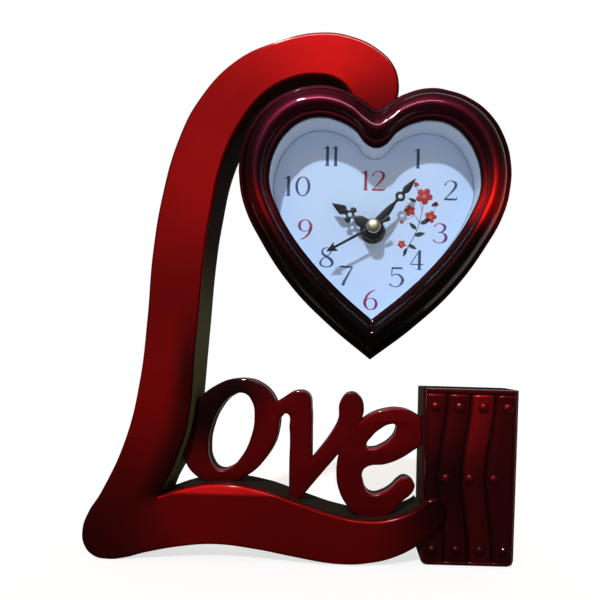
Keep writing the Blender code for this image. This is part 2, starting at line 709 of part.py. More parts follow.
def ellipse_outline(values, points=12):
    """A leaning ellipse as smooth outline points."""
    centre_x, centre_z = values["centre"]
    half_x, half_z = values["half"]
    lean = math.radians(values["lean"])
    outline = []
    for i in range(points):
        turn = math.tau * i / points
        x = half_x * math.cos(turn)
        z = half_z * math.sin(turn)
        outline.append((
            centre_x + x * math.cos(lean) + z * math.sin(lean),
            centre_z - x * math.sin(lean) + z * math.cos(lean),
        ))
    return outline


def make_letters():
    front = LETTER_SETBACK
    back = LETTER_SETBACK + LETTER_THICKNESS
    ring = [ellipse_outline(O_OUTER), ellipse_outline(O_INNER)]
    letters = extruded("openwork_letters", ring, front, back, "dark_cherry", edge=LETTER_EDGE)
    letter_v = extruded("letter_v", [V_OUTLINE], front, back, edge=LETTER_EDGE)
    letter_e = extruded("letter_e", [E_OUTLINE, E_EYE], front, back, edge=LETTER_EDGE)
    margin = LETTER_THICKNESS
    stand = stand_block("room_for_stand", GAP, -margin, STAND_DEPTH + margin)
    cup = cup_block("letters_end_at_cup", GAP, -margin, CUP_BACK + margin)
    join(letters, letter_v, letter_e)
    cut(letters, stand, cup)
    for i, tab in enumerate(LETTER_TABS):
        join(letters, letter_tab(f"letter_tab_{i}", tab, 0.0))
    return shade(letters)


# Heart case


def case_screw_places():
    return [(CLOCK_X + x * MM, PIVOT_Z + z * MM) for x, z in CASE_SCREWS]


def bezel_section():
    """The bezel's closed section as insets and depths: skirt, crown, lip, rail and hollow back."""
    front = [(share * BEZEL_WIDTH, -height * BEZEL_CROWN) for share, height in BEZEL_FRONT]
    rail_inside = 0.86 * BEZEL_WIDTH
    rail_outside = rail_inside - CASE_WALL
    hollow_side = CASE_INSET + PAN_WALL
    lip_back = LIP_THICKNESS - BEZEL_LIP
    return [
        (0.0, -GAP), (0.0, -BEZEL_SKIRT), (0.12 * BEZEL_WIDTH, -BEZEL_SKIRT), *front,
        (BEZEL_WIDTH, -BEZEL_LIP), (BEZEL_WIDTH, lip_back), (rail_inside, lip_back),
        (rail_inside, RAIL_DEPTH), (rail_outside, RAIL_DEPTH), (rail_outside, -BEZEL_CROWN / 2),
        (BEZEL_WIDTH / 2, -0.72 * BEZEL_CROWN), (hollow_side, -BEZEL_CROWN / 2), (hollow_side, -GAP),
    ]


def make_heart_bezel():
    bezel = heart_band("heart_bezel", bezel_section(), "dark_cherry")
    places = case_screw_places()
    bosses = rods("bezel_bosses", places, -BEZEL_CROWN / 2 - GAP, POST_SEAT, CASE_POST_RADIUS - GAP)
    holes = rods("bezel_boss_holes", places, POST_SEAT - SCREW_BITE - GAP, POST_SEAT + GAP,
                 HOLE_RADIUS, 8)
    return shade(cut(join(bezel, bosses), holes))


def make_lens():
    return heart_plate("clock_lens", BEZEL_WIDTH * 0.89, LENS_FRONT, LENS_BACK, "clear")


def make_dial_pan():
    front = LENS_BACK + GAP
    outer = BEZEL_WIDTH - PAN_WALL
    pan = heart_plate("dial_pan", outer - GAP, front, PAN_BACK, "pale_grey")
    inside = heart_plate("pan_inside", BEZEL_WIDTH - GAP, front - PAN_WALL, PAN_FLOOR)
    hole = rods("pan_hole", [(CLOCK_X, PIVOT_Z)], DIAL_DEPTH, PAN_BACK + GAP, NUT_BORE, 16)
    return shade(cut(pan, inside, hole))


def make_dial_card():
    card = heart_plate("dial_card", BEZEL_WIDTH, DIAL_DEPTH, CARD_BACK, "dial_white")
    hole = rods("card_hole", [(CLOCK_X, PIVOT_Z)], DIAL_DEPTH - GAP, PAN_FLOOR, NUT_BORE, 16)
    return shade(cut(card, hole))


def make_case_back():
    case = heart_plate("clock_case_back", CASE_INSET, 0.0, MOVEMENT_BACK, "black_plastic", edge=CASE_EDGE)
    inside = heart_plate("case_inside", CASE_INSET + CASE_WALL, -CASE_WALL, MOVEMENT_BACK - CASE_WALL)
    window = box(
        "movement_window",
        (CLOCK_X - MOVEMENT_WIDTH / 2 - GAP, MOVEMENT_BACK - 2 * CASE_WALL, PIVOT_Z - MOVEMENT_BELOW - GAP),
        (CLOCK_X + MOVEMENT_WIDTH / 2 + GAP, MOVEMENT_BACK + CASE_WALL, PIVOT_Z + MOVEMENT_ABOVE + GAP),
        corner=MOVEMENT_CORNER,
    )
    places = case_screw_places()
    seat = POST_SEAT + GAP
    shoulder = seat + CASE_WALL
    posts = rods("case_posts", places, seat, MOVEMENT_BACK - CASE_WALL / 2, CASE_POST_RADIUS)
    shanks = rods("case_post_holes", places, seat - GAP, shoulder + GAP, HOLE_RADIUS, 8)
    wells = rods("case_post_wells", places, shoulder, MOVEMENT_BACK + GAP, WELL_RADIUS)
    tongue_x, tongue_z = drawn(COVER_SCREWS)[0]
    half = TONGUE_WIDTH / 2
    root = min(z for x, z in heart_ring(CASE_INSET) if abs(x - CLOCK_X) < half and z > PIVOT_Z)
    tongue = box(
        "clock_tongue",
        (tongue_x - half, TONGUE_DEPTH, root - CASE_WALL / 2),
        (tongue_x + half, TONGUE_DEPTH + TONGUE_THICKNESS, tongue_z + half),
    )
    hole = rods("clock_tongue_hole", [(tongue_x, tongue_z)], TONGUE_DEPTH - GAP,
                TONGUE_DEPTH + TONGUE_THICKNESS + GAP, HOLE_RADIUS, 8)
    cut(case, inside, window)
    join(case, posts, tongue)
    return shade(cut(case, shanks, wells, hole))


def make_case_screws():
    shoulder = POST_SEAT + GAP + CASE_WALL
    for i, place in enumerate(case_screw_places()):
        make_screw(f"case_screw_{i + 1}", place, shoulder, CASE_WALL + SCREW_BITE)


# Movement


def movement_box(name, low_z, high_z, front, back, grow, finish=None, corner=MOVEMENT_CORNER):
    half = MOVEMENT_WIDTH / 2 + grow
    return box(name, (CLOCK_X - half, front, low_z), (CLOCK_X + half, back, high_z), finish, corner)


def make_movement_case():
    bottom = PIVOT_Z - MOVEMENT_BELOW
    top = PIVOT_Z + MOVEMENT_ABOVE
    wall = MOVEMENT_WALL
    case = movement_box("movement_case", bottom, top, MOVEMENT_FRONT, MOVEMENT_BACK, 0.0, "black_plastic")
    split = BAY_LOW - wall
    above_split = movement_box("cover_room", bottom - wall, split, SPLIT_DEPTH, MOVEMENT_BACK + wall,
                               wall, corner=0.0)
    works = movement_box("works_room", bottom + wall, split - wall, MOVEMENT_FRONT + wall,
                         MOVEMENT_BACK + wall, -wall, corner=0.0)
    bay = movement_box("battery_bay", BAY_LOW, BAY_HIGH, MOVEMENT_FRONT + wall, MOVEMENT_BACK + wall,
                       -wall, corner=0.0)
    bush = rods("bush", [(CLOCK_X, PIVOT_Z)], BUSH_FRONT, MOVEMENT_FRONT + wall / 2, BUSH_RADIUS, 16)
    bore = rods("bush_bore", [(CLOCK_X, PIVOT_Z)], BUSH_FRONT - wall, MOVEMENT_FRONT + 2 * wall,
                BUSH_BORE, 16)
    return shade(cut(join(cut(case, above_split, works, bay), bush), bore))


def make_movement_cover():
    bottom = PIVOT_Z - MOVEMENT_BELOW
    wall = MOVEMENT_WALL
    top = BAY_LOW - wall - GAP
    front = SPLIT_DEPTH + GAP
    cover = movement_box("movement_cover", bottom, top, front, MOVEMENT_BACK, 0.0, "black_plastic")
    inside = movement_box("cover_inside", bottom + wall, top - wall, front - wall,
                          MOVEMENT_BACK - wall - KNOB_RECESS, -wall, corner=0.0)
    recess = rods("knob_recess", [(CLOCK_X, SETTING_Z)], MOVEMENT_BACK - KNOB_RECESS,
                  MOVEMENT_BACK + wall, KNOB_RADIUS + 2 * GAP, 20)
    hole = rods("knob_hole", [(CLOCK_X, SETTING_Z)], front, MOVEMENT_BACK + wall,
                MINUTE_TUBE_RADIUS + GAP, 12)
    return shade(cut(cover, inside, recess, hole))


def tube_profile(radius, bore, front, back):
    return [(radius, front), (radius, back), (bore, back), (bore, front)]


def make_arbors():
    pivot = (CLOCK_X, PIVOT_Z)
    hour_front = HOUR_HAND_BACK - HAND_THICKNESS - GAP
    minute_front = MINUTE_HAND_BACK - HAND_THICKNESS - GAP
    second_front = SECOND_HAND_BACK
    hour = [
        (HOUR_TUBE_RADIUS, hour_front),
        (HOUR_TUBE_RADIUS, HOUR_WHEEL_DEPTH),
        (HOUR_WHEEL_RADIUS, HOUR_WHEEL_DEPTH),
        (HOUR_WHEEL_RADIUS, HOUR_WHEEL_DEPTH + WHEEL_THICKNESS),
        (HOUR_TUBE_BORE, HOUR_WHEEL_DEPTH + WHEEL_THICKNESS),
        (HOUR_TUBE_BORE, hour_front),
    ]
    shade(turned("hour_wheel", pivot, hour, "white_plastic", 20, closed=True))
    minute = [
        (MINUTE_TUBE_RADIUS, minute_front),
        (MINUTE_TUBE_RADIUS, CANNON_DEPTH),
        (CANNON_RADIUS, CANNON_DEPTH),
        (CANNON_RADIUS, CENTRE_WHEEL_DEPTH),
        (CENTRE_WHEEL_RADIUS, CENTRE_WHEEL_DEPTH),
        (CENTRE_WHEEL_RADIUS, CENTRE_WHEEL_DEPTH + WHEEL_THICKNESS),
        (MINUTE_TUBE_BORE, CENTRE_WHEEL_DEPTH + WHEEL_THICKNESS),
        (MINUTE_TUBE_BORE, minute_front),
    ]
    shade(turned("centre_wheel", pivot, minute, "white_plastic", 20, closed=True))
    second = [
        (0.0, second_front),
        (SECOND_SHAFT_RADIUS, second_front),
        (SECOND_SHAFT_RADIUS, SECOND_WHEEL_DEPTH),
        (SECOND_WHEEL_RADIUS, SECOND_WHEEL_DEPTH),
        (SECOND_WHEEL_RADIUS, SECOND_WHEEL_DEPTH + WHEEL_THICKNESS),
        (SECOND_SHAFT_RADIUS, SECOND_WHEEL_DEPTH + WHEEL_THICKNESS),
        (SECOND_SHAFT_RADIUS, MOVEMENT_BACK - MOVEMENT_WALL - KNOB_RECESS - GAP),
        (0.0, MOVEMENT_BACK - MOVEMENT_WALL - KNOB_RECESS - GAP),
    ]
    shade(turned("second_wheel", pivot, second, "steel", 20))


def make_setting_knob():
    """The motion work's wheel and pinion on the arbor that the knob turns."""
    place = (CLOCK_X, SETTING_Z)
    knob_front = MOVEMENT_BACK - KNOB_RECESS + GAP
    shaft = MINUTE_TUBE_RADIUS
    arbor = [
        (0.0, HOUR_WHEEL_DEPTH),
        (SETTING_PINION_RADIUS, HOUR_WHEEL_DEPTH),
        (SETTING_PINION_RADIUS, CANNON_DEPTH),
        (SETTING_WHEEL_RADIUS, CANNON_DEPTH),
        (SETTING_WHEEL_RADIUS, CANNON_DEPTH + WHEEL_THICKNESS),
        (shaft, CANNON_DEPTH + WHEEL_THICKNESS),
        (shaft, knob_front),
        (KNOB_RADIUS, knob_front),
        (KNOB_RADIUS, knob_front + KNOB_HEIGHT),
        (0.0, knob_front + KNOB_HEIGHT),
    ]
    return shade(turned("setting_knob", place, arbor, "white_plastic", 20))


def make_battery():
    radius = BATTERY_RADIUS
    half = BATTERY_LENGTH / 2
    edge = BATTERY_EDGE
    shoulder = -half + NUB_HEIGHT
    profile = [
        (0.0, -half), (NUB_RADIUS, -half), (NUB_RADIUS, shoulder), (radius - edge, shoulder),
        (radius, shoulder + edge), (radius, half - edge), (radius - edge, half), (0.0, half),
    ]
    battery = turned("battery", (0.0, 0.0), profile, "battery_wrap", 16)
    battery.rotation_euler = (0.0, math.pi / 2, 0.0)
    battery.location = (CLOCK_X, y_at(BATTERY_DEPTH), BATTERY_Z)
    return shade(battery)


def make_contact(name, wall_x, inward):
    """A leaf contact between the battery's end and the bay's end wall."""
    low_x, high_x = sorted((wall_x, wall_x + inward * CONTACT_THICKNESS))
    half = CONTACT_WIDTH / 2
    return box(
        name,
        (low_x, MOVEMENT_FRONT + MOVEMENT_WALL + GAP, BATTERY_Z - half),
        (high_x, MOVEMENT_BACK - MOVEMENT_WALL, BATTERY_Z + half),
        "steel",
    )


def make_contacts():
    bay_half = MOVEMENT_WIDTH / 2 - MOVEMENT_WALL
    make_contact("contact_negative", CLOCK_X - bay_half + GAP, 1)
    make_contact("contact_positive", CLOCK_X + bay_half - GAP, -1)


def make_dial_nut():
    pivot = (CLOCK_X, PIVOT_Z)
    ring = tube_profile(NUT_BORE + WASHER_WIDTH, NUT_BORE, WASHER_BACK - WASHER_THICKNESS, WASHER_BACK)
    washer = turned("dial_washer", pivot, ring, "brass", 20, closed=True)
    blank = rods("dial_nut_blank", [pivot], NUT_BACK - NUT_HEIGHT, NUT_BACK, NUT_BORE + NUT_WALL, 6)
    nut = add_object("dial_nut", blank.data.copy(), "brass")
    bpy.data.objects.remove(blank)
    hole = rods("nut_hole", [pivot], NUT_BACK - 2 * NUT_HEIGHT, NUT_BACK + NUT_HEIGHT, NUT_BORE, 16)
    shade(cut(nut, hole))
    return shade(washer)


# Hands


def hand_outline(right_side):
    """Both sides of a hand as corner points, from its right side, bottom to top."""
    left_side = [(-x, z) for x, z in reversed(right_side) if x > 0.0]
    return [(x, z, "corner") for x, z in right_side + left_side]


def make_hand(name, blade, eye, back, shaft, angle):
    """A flat hand on a hub, whose origin lies on the axis that it turns about."""
    front = back - HAND_THICKNESS
    outlines = [hand_outline(blade)]
    if eye:
        centre, radius = eye
        outlines.append([
            (radius * math.cos(math.tau * i / 8), centre + radius * math.sin(math.tau * i / 8), "corner")
            for i in range(8)
        ])
    hand = extruded(name, outlines, front, back, "black_paint", resolution=1, place=(0.0, 0.0))
    bore = shaft + GAP
    hub_front = front - GAP
    hub_back = back + 2 * GAP
    hub = rods(f"{name}_hub", [(0.0, 0.0)], hub_front, hub_back, bore + HUB_WIDTH, 16)
    hole = rods(f"{name}_bore", [(0.0, 0.0)], hub_front - HUB_WIDTH, hub_back + HUB_WIDTH, bore, 16)
    cut(join(hand, hub), hole)
    bpy.context.view_layer.update()
    graph = bpy.context.evaluated_depsgraph_get()
    mesh = bpy.data.meshes.new_from_object(hand.evaluated_get(graph))
    mesh.transform(hand.matrix_world)
    hand.modifiers.clear()
    hand.data = mesh
    turn = Matrix.Rotation(math.radians(angle), 4, "Y")
    hand.matrix_world = Matrix.Translation((CLOCK_X, 0.0, PIVOT_Z)) @ turn
    return shade(hand)


def make_hands():
    make_hand("hour_hand", HOUR_BLADE, HOUR_EYE, HOUR_HAND_BACK, HOUR_TUBE_RADIUS, HOUR_ANGLE)
    make_hand("minute_hand", MINUTE_BLADE, MINUTE_EYE, MINUTE_HAND_BACK, MINUTE_TUBE_RADIUS, MINUTE_ANGLE)
    make_hand("second_hand", SECOND_BLADE, None, SECOND_HAND_BACK, SECOND_SHAFT_RADIUS, SECOND_ANGLE)


def make_hand_cap():
    turns = [math.radians(15 * i) for i in range(7)]
    profile = [(CAP_RADIUS * math.sin(turn), CAP_BACK - CAP_HEIGHT * math.cos(turn)) for turn in turns]
    profile.append((0.0, CAP_BACK))
    return shade(turned("hand_cap", (CLOCK_X, PIVOT_Z), profile, "brass", 16))


make_stand_shell()
make_stand_back_cover()
make_cover_screws()
make_letters()
make_pen_cup()
make_cup_front_panel()
make_heart_bezel()
make_lens()
make_dial_pan()
make_dial_card()
make_case_back()
make_case_screws()
make_movement_case()
make_movement_cover()
make_arbors()
make_setting_knob()
make_battery()
make_contacts()
make_dial_nut()
make_hands()
make_hand_cap()
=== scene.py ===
# %% [markdown]
# # A pen holder clock
#
# A desk ornament in lacquered plastic: a stand curls up like a tall letter, three
# openwork letters fill its foot, a square pen cup stands at the foot's tip and a
# heart-shaped quartz clock hangs in the curl. The solids come packed from the CAD
# model. This lesson dresses them: it makes the surfaces that the eye rests on again,
# fine enough for gloss, and gives every piece its finish.

# %% The frame
import contextlib
import math

import bmesh
import bpy
import numpy as np
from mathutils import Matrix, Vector


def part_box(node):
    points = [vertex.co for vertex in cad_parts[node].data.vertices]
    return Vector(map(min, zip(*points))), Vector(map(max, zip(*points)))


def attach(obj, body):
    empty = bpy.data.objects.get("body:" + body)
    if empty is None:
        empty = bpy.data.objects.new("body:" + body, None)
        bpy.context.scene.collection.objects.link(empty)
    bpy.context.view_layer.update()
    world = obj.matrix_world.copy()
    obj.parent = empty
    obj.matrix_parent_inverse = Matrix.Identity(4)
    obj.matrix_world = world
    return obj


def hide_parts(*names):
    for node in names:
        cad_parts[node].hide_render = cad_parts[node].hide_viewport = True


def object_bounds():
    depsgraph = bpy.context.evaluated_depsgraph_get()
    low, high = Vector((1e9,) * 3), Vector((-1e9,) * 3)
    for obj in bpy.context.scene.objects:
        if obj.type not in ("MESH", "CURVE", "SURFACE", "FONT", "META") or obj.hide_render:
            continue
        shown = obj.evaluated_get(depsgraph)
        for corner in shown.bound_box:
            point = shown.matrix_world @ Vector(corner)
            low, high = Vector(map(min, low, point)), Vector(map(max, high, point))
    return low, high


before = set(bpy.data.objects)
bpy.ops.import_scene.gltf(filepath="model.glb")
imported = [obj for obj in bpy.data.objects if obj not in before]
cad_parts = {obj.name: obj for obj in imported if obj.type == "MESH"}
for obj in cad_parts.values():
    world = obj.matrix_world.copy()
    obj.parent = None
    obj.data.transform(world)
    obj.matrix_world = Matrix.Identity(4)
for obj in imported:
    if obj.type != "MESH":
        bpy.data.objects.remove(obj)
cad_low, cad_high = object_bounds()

scene = bpy.context.scene
MM = 0.001


def add_object(name, data):
    """A new object in the scene."""
    piece = bpy.data.objects.new(name, data)
    scene.collection.objects.link(piece)
    return piece


print("solids:", len(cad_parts), "size in mm:", [round(v / MM, 1) for v in cad_high - cad_low])

# %% [markdown]
# ## Where things are
#
# Depth is counted backwards from the stand's front face, as in the CAD model. A few
# packed boxes give the shared places: the back cover ends where the stand is deepest,
# and the second wheel is round about the hands' axis.

# %% Places
BODY = "clock_body"
STAND_DEPTH, STAND_WALL, STAND_EDGE = 27.0 * MM, 2.2 * MM, 1.2 * MM
GAP = 0.3 * MM
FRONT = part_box("stand_back_cover")[1].y - STAND_DEPTH
# How far the drawings of stand and letters are shifted in the frame
DRAWING = np.array([-0.8, 0.5]) * MM
wheel_low, wheel_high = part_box("second_wheel")
PIVOT = np.array([wheel_low.x + wheel_high.x, wheel_low.z + wheel_high.z]) / 2
cup_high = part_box("pen_cup")[1]
panel_low, panel_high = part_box("cup_front_panel")
CUP_X = (panel_low.x + panel_high.x) / 2
CUP_HALF = cup_high.x - CUP_X
CUP_LEFT = CUP_X - CUP_HALF
print("front", round(FRONT / MM, 2), "axis", PIVOT / MM, "cup", round(CUP_X / MM, 2), round(CUP_HALF / MM, 2))


# %% [markdown]
# ## Smooth lines
#
# Every outline is drawn as a few points that a Bezier curve with automatic handles
# passes through, the way a designer pulls a curve with few points. Blender works out
# the handles, and the cubic formula gives the point at any number along the line, so
# the line here is the CAD model's own line, as fine as the gloss asks.

# %% Outlines as functions of a number
def unit(vectors):
    """Vectors divided by their lengths."""
    return vectors / (np.linalg.norm(vectors, axis=-1, keepdims=True) + 1e-12)


def draw_curve(outlines, name="guide"):
    """A flat curve object with automatic handles; a third value in a point marks a corner."""
    curve = bpy.data.curves.new(name, "CURVE")
    curve.dimensions, curve.fill_mode = "2D", "BOTH"
    for outline in outlines:
        spline = curve.splines.new("BEZIER")
        spline.bezier_points.add(len(outline) - 1)
        spline.use_cyclic_u = True
        for knot, place in zip(spline.bezier_points, outline):
            knot.co = (place[0] * MM, place[1] * MM, 0.0)
            handle = "VECTOR" if len(place) == 3 else "AUTO"
            knot.handle_left_type = knot.handle_right_type = handle
    holder = add_object(name, curve)
    bpy.context.view_layer.update()
    return holder


class SmoothLine:
    """A closed line through points in millimetres.

    Between knots a and d with handles b and c, the point at a share t is
    (1-t)^3 a + 3 (1-t)^2 t b + 3 (1-t) t^2 c + t^3 d.
    """

    def __init__(self, points, shift=(0.0, 0.0)):
        holder = draw_curve([points])
        knots = holder.data.splines[0].bezier_points
        corners = [[knot.co[:2], knot.handle_right[:2], after.handle_left[:2], after.co[:2]]
                   for knot, after in zip(knots, [*knots[1:], knots[0]])]
        self.pieces = np.array(corners) + np.array(shift)
        self.count = len(points)
        bpy.data.objects.remove(holder)

    def at(self, number):
        """Points at knot numbers, where 2.5 lies between knots 2 and 3."""
        number = np.asarray(number, float) % self.count
        index = np.minimum(number.astype(int), self.count - 1)
        t = (number - index)[..., None]
        a, b, c, d = np.moveaxis(self.pieces[index], -2, 0)
        return (1 - t) ** 3 * a + 3 * (1 - t) ** 2 * t * b + 3 * (1 - t) * t ** 2 * c + t ** 3 * d

    def points(self, steps):
        """Points of the whole line, so many from each knot to the next."""
        return self.at(np.arange(self.count * steps) / steps)

    def inward(self, number, reach=0.02):
        """Unit vectors from the line into its area: the tangent turned to the side of the area."""
        tangent = self.at(np.asarray(number) + reach) - self.at(np.asarray(number) - reach)
        x, z = self.points(4).T
        turn = math.copysign(1.0, np.sum(x * np.roll(z, -1) - np.roll(x, -1) * z))
        return unit(np.stack([-tangent[..., 1], tangent[..., 0]], -1)) * turn


# %% [markdown]
# ## Grids into meshes
#
# A surface here is an array of points with two directions, such as along a ribbon and
# round its section. Neighbours are joined into four-sided faces, the doubles at seams
# and poles are merged, and the mesh stands at the origin in its place.

# %% Grid helpers
MERGE, SLIVER = 2e-6, 1e-7


def quarter(points):
    """The angles of a quarter turn."""
    return np.linspace(0.0, math.pi / 2, points)


def whole_turn(points):
    """Angles all round, the last one short of the first."""
    return np.arange(points) * math.tau / points


@contextlib.contextmanager
def edit_mesh(mesh):
    """The mesh in its form for editing; what is changed in it is written back."""
    bm = bmesh.new()
    bm.from_mesh(mesh)
    yield bm
    bm.to_mesh(mesh)
    bm.free()


def grid_faces(rows, columns, closed_rows=False):
    """Corners of each face of a grid whose point (i, j) has the number i * columns + j."""
    i, j = np.arange(rows if closed_rows else rows - 1), np.arange(columns)
    i, j = (a.ravel() for a in np.meshgrid(i, j, indexing="ij"))
    below, right = (i + 1) % rows, (j + 1) % columns
    return np.stack([i * columns + j, below * columns + j, below * columns + right, i * columns + right], 1)


def end_rows(rows, columns):
    """The point numbers of a grid's first and last row."""
    return np.arange(columns) + np.array([[0], [(rows - 1) * columns]])


def tidy_mesh(piece, smooth=40.0):
    """Merges doubles, turns the faces outwards, and shades smooth up to an angle between faces."""
    with edit_mesh(piece.data) as bm:
        bmesh.ops.remove_doubles(bm, verts=bm.verts, dist=MERGE)
        bmesh.ops.dissolve_degenerate(bm, edges=bm.edges, dist=SLIVER)
        bmesh.ops.recalc_face_normals(bm, faces=bm.faces)
    piece.data.shade_smooth()
    piece.data.set_sharp_from_angle(angle=math.radians(smooth))
    return piece


def make_piece(name, points, faces, smooth=40.0, attributes=None, caps=()):
    """A mesh object at the origin from points and faces, and flat caps as lists of point numbers."""
    mesh = bpy.data.meshes.new(name)
    mesh.from_pydata(points.reshape(-1, 3).tolist(), [], faces.tolist() + [list(map(int, c)) for c in caps])
    for label, values in (attributes or {}).items():
        layer = mesh.attributes.new(label, "FLOAT", "POINT")
        layer.data.foreach_set("value", np.asarray(values, np.float32).ravel())
    return tidy_mesh(add_object(name, mesh), smooth)


def make_grid(name, points, closed_rows=False, ends=0, **looks):
    """A piece from one grid, closed across its columns, and along its rows or by caps on its end rows."""
    size = points.shape[:2]
    return make_piece(name, points, grid_faces(*size, closed_rows), caps=end_rows(*size)[:ends], **looks)


def in_space(flat, depth):
    """Points (x, z) and depths as points in space, where depth runs from the stand's face to the back."""
    return np.stack([flat[..., 0], FRONT + np.broadcast_to(depth, flat.shape[:-1]), flat[..., 1]], -1)


def dress(piece, slot, *nodes, body=BODY):
    """Lets a piece ride on its body and stand for its CAD nodes."""
    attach(piece, body)
    if nodes:
        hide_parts(*nodes)
    print(piece.name, "faces:", len(piece.data.polygons))
    return piece


# %% [markdown]
# ## The heart's rings
#
# The bezel, the lens, the dial and the case all follow one heart. It is drawn twice,
# at the bezel's outer edge and at its inner lip, point for point, and every ring
# between is a mix of both. Each half is drawn once and mirrored.

# %% The heart
HEART_OUTER = [
    (0.0, 58.7), (6.7, 62.4), (14.0, 66.6), (26.7, 70.0), (36.8, 68.9),
    (47.1, 65.3), (57.4, 57.7), (64.9, 46.4), (68.6, 33.4), (68.6, 20.3),
    (65.5, 7.1), (57.4, -8.8), (41.5, -31.5), (21.6, -51.1), (0.0, -68.2, "corner"),
]
HEART_INNER = [
    (0.0, 38.1), (4.6, 39.7), (11.0, 46.7), (20.5, 51.5), (29.0, 52.6),
    (37.5, 50.5), (45.3, 44.1), (50.6, 35.1), (53.0, 25.5), (52.7, 17.0),
    (49.6, 8.5), (43.5, -3.0), (31.5, -18.9), (16.3, -34.4), (0.0, -48.2, "corner"),
]
BEZEL_WIDTH = 15.5 * MM


def whole(half):
    """Both halves of an outline whose first and last points lie on its axis."""
    return half + [(-x, *rest) for x, *rest in reversed(half[1:-1])]


outer_heart = SmoothLine(whole(HEART_OUTER), shift=PIVOT)
inner_heart = SmoothLine(whole(HEART_INNER), shift=PIVOT)


def heart_ring(number, inset):
    """The heart's points at an inset from the bezel's outer edge: outer (1 - s) + inner s."""
    share = (np.asarray(inset) / BEZEL_WIDTH)[..., None]
    return outer_heart.at(number) * (1 - share) + inner_heart.at(number) * share


LOBES = np.linspace(-4, 4, 400)


def heart_top(x, inset):
    """The height of the heart's upper side, between its lobes, above a place x."""
    ring = heart_ring(LOBES, np.full(len(LOBES), inset))
    return np.interp(x, ring[:, 0], ring[:, 1])


print("heart's knots:", outer_heart.count)

# %% [markdown]
# ## The stand
#
# The real stand is one moulding: a channel with a flat front and walls all round, open
# at the back, where a cover closes it. Seen as a ribbon, it starts at the heart, goes
# over the curl, down the stem, round the toe and along the foot to its tip in front of
# the cup. Both edges belong to one closed outline, so the rungs below say which point
# of the outer edge faces which point of the inner one, by their numbers. Round the toe
# many outer points face the one inner corner.

# %% The stand's outline
STAND_OUTLINE = [
    (-38.7, 256.0), (-57.3, 235.1), (-67.1, 214.4), (-74.4, 186.0), (-78.6, 155.0),
    (-80.3, 124.0), (-83.3, 91.5), (-89.7, 61.5), (-101.9, 33.0), (-107.8, 23.2),
    (-110.6, 14.2), (-109.4, 6.2), (-104.6, 1.1), (-97.5, -0.5), (-89.0, 0.4),
    (-78.0, 3.4), (-60.0, 7.0), (-42.8, 8.5), (-22.3, 6.6), (-1.8, 3.1),
    (14.0, 0.6), (24.0, 0.0), (34.0, 0.6), (50.0, 4.6), (64.7, 13.3),
    (72.6, 20.8), (75.5, 27.2), (73.6, 33.0), (67.8, 34.6), (58.7, 28.4),
    (47.6, 24.0), (35.9, 22.6), (18.5, 25.0), (-1.0, 30.9), (-20.1, 36.9),
    (-40.6, 39.4), (-57.8, 37.2), (-71.2, 32.7, "corner"), (-68.9, 38.7), (-65.6, 45.2),
    (-62.5, 53.8), (-59.8, 61.6), (-58.1, 69.0), (-56.9, 78.0), (-56.2, 89.0),
    (-55.4, 103.0), (-54.0, 125.0), (-52.3, 152.0), (-49.3, 177.5), (-42.9, 207.8),
    (-34.5, 225.3), (-24.0, 238.8), (-11.7, 246.6), (3.0, 249.6), (14.2, 247.0),
    (20.8, 240.0), (25.0, 226.0, "corner"), (41.5, 226.0, "corner"), (44.4, 238.0), (45.0, 247.0),
    (42.2, 255.8), (34.6, 263.6), (21.0, 270.0), (4.0, 271.8), (-17.5, 266.6),
]
INNER_CORNER = 37
RUNGS = [
    (57.0, 56.0), (59.0, 55.0), (61.0, 54.0), (63.0, 53.0), (64.0, 52.0), (65.0, 51.0),
    (66.0, 50.0), (67.0, 49.0), (68.0, 48.0), (69.0, 47.0), (70.0, 46.0), (71.0, 44.0),
    (72.0, 40.0), (72.64, 37.0), (80.9, 37.0), (82.0, 35.0), (83.0, 34.0), (84.0, 33.0),
    (85.0, 32.0), (87.0, 31.0), (88.0, 30.0), (89.0, 29.0), (90.0, 28.0), (91.5, 26.5),
]
UNDER_BEZEL, CUP_FACE = 3.0 * MM, 3.3 * MM
stand_line = SmoothLine(STAND_OUTLINE, shift=DRAWING)
print("stand's knots:", stand_line.count, "rungs:", len(RUNGS))


def evenly(pairs, count):
    """Rungs along the ribbon, interpolated and spread evenly by length."""
    pairs = np.array(pairs)
    key = np.linspace(0, len(pairs) - 1, 4000)
    numbers = np.stack([np.interp(key, np.arange(len(pairs)), column) for column in pairs.T])
    step = sum(np.linalg.norm(np.diff(stand_line.at(n), axis=0), axis=1) for n in numbers)
    length = np.concatenate([[0.0], np.cumsum(step)])
    return [np.interp(np.linspace(0, length[-1], count), length, n) for n in numbers]


def leaves_heart(first, last):
    """The number between two where the outline comes out from under the bezel."""
    numbers = np.linspace(first, last, 400)
    x, z = stand_line.at(numbers).T
    return float(numbers[np.argmax(z > heart_top(x, UNDER_BEZEL))])


# %% [markdown]
# The ribbon's section is a U: up one wall, round the front edge, across the face, round
# the other edge, down the other wall, and back along the inside. Each point of it is a
# side, from the outer edge at 0 to the inner edge at 1, an inset from that edge along
# its normal, and a depth. In front of the cup the walls stop short of the cup's face.
# Where the foot's upper edge rises under the letters, a facet above a level line leans
# back and catches the light from above.

# %% The ribbon
CREST_LINE, CREST_END, CREST_LEAN = 34.6 * MM, -5.0 * MM, math.tan(math.radians(18.0))
# The foot's first number on the outer edge, what counts as the corner, an inset's share of the width
FOOT_START, CORNER_REACH, MOST_INSET = RUNGS[14][0], 0.02, 0.42


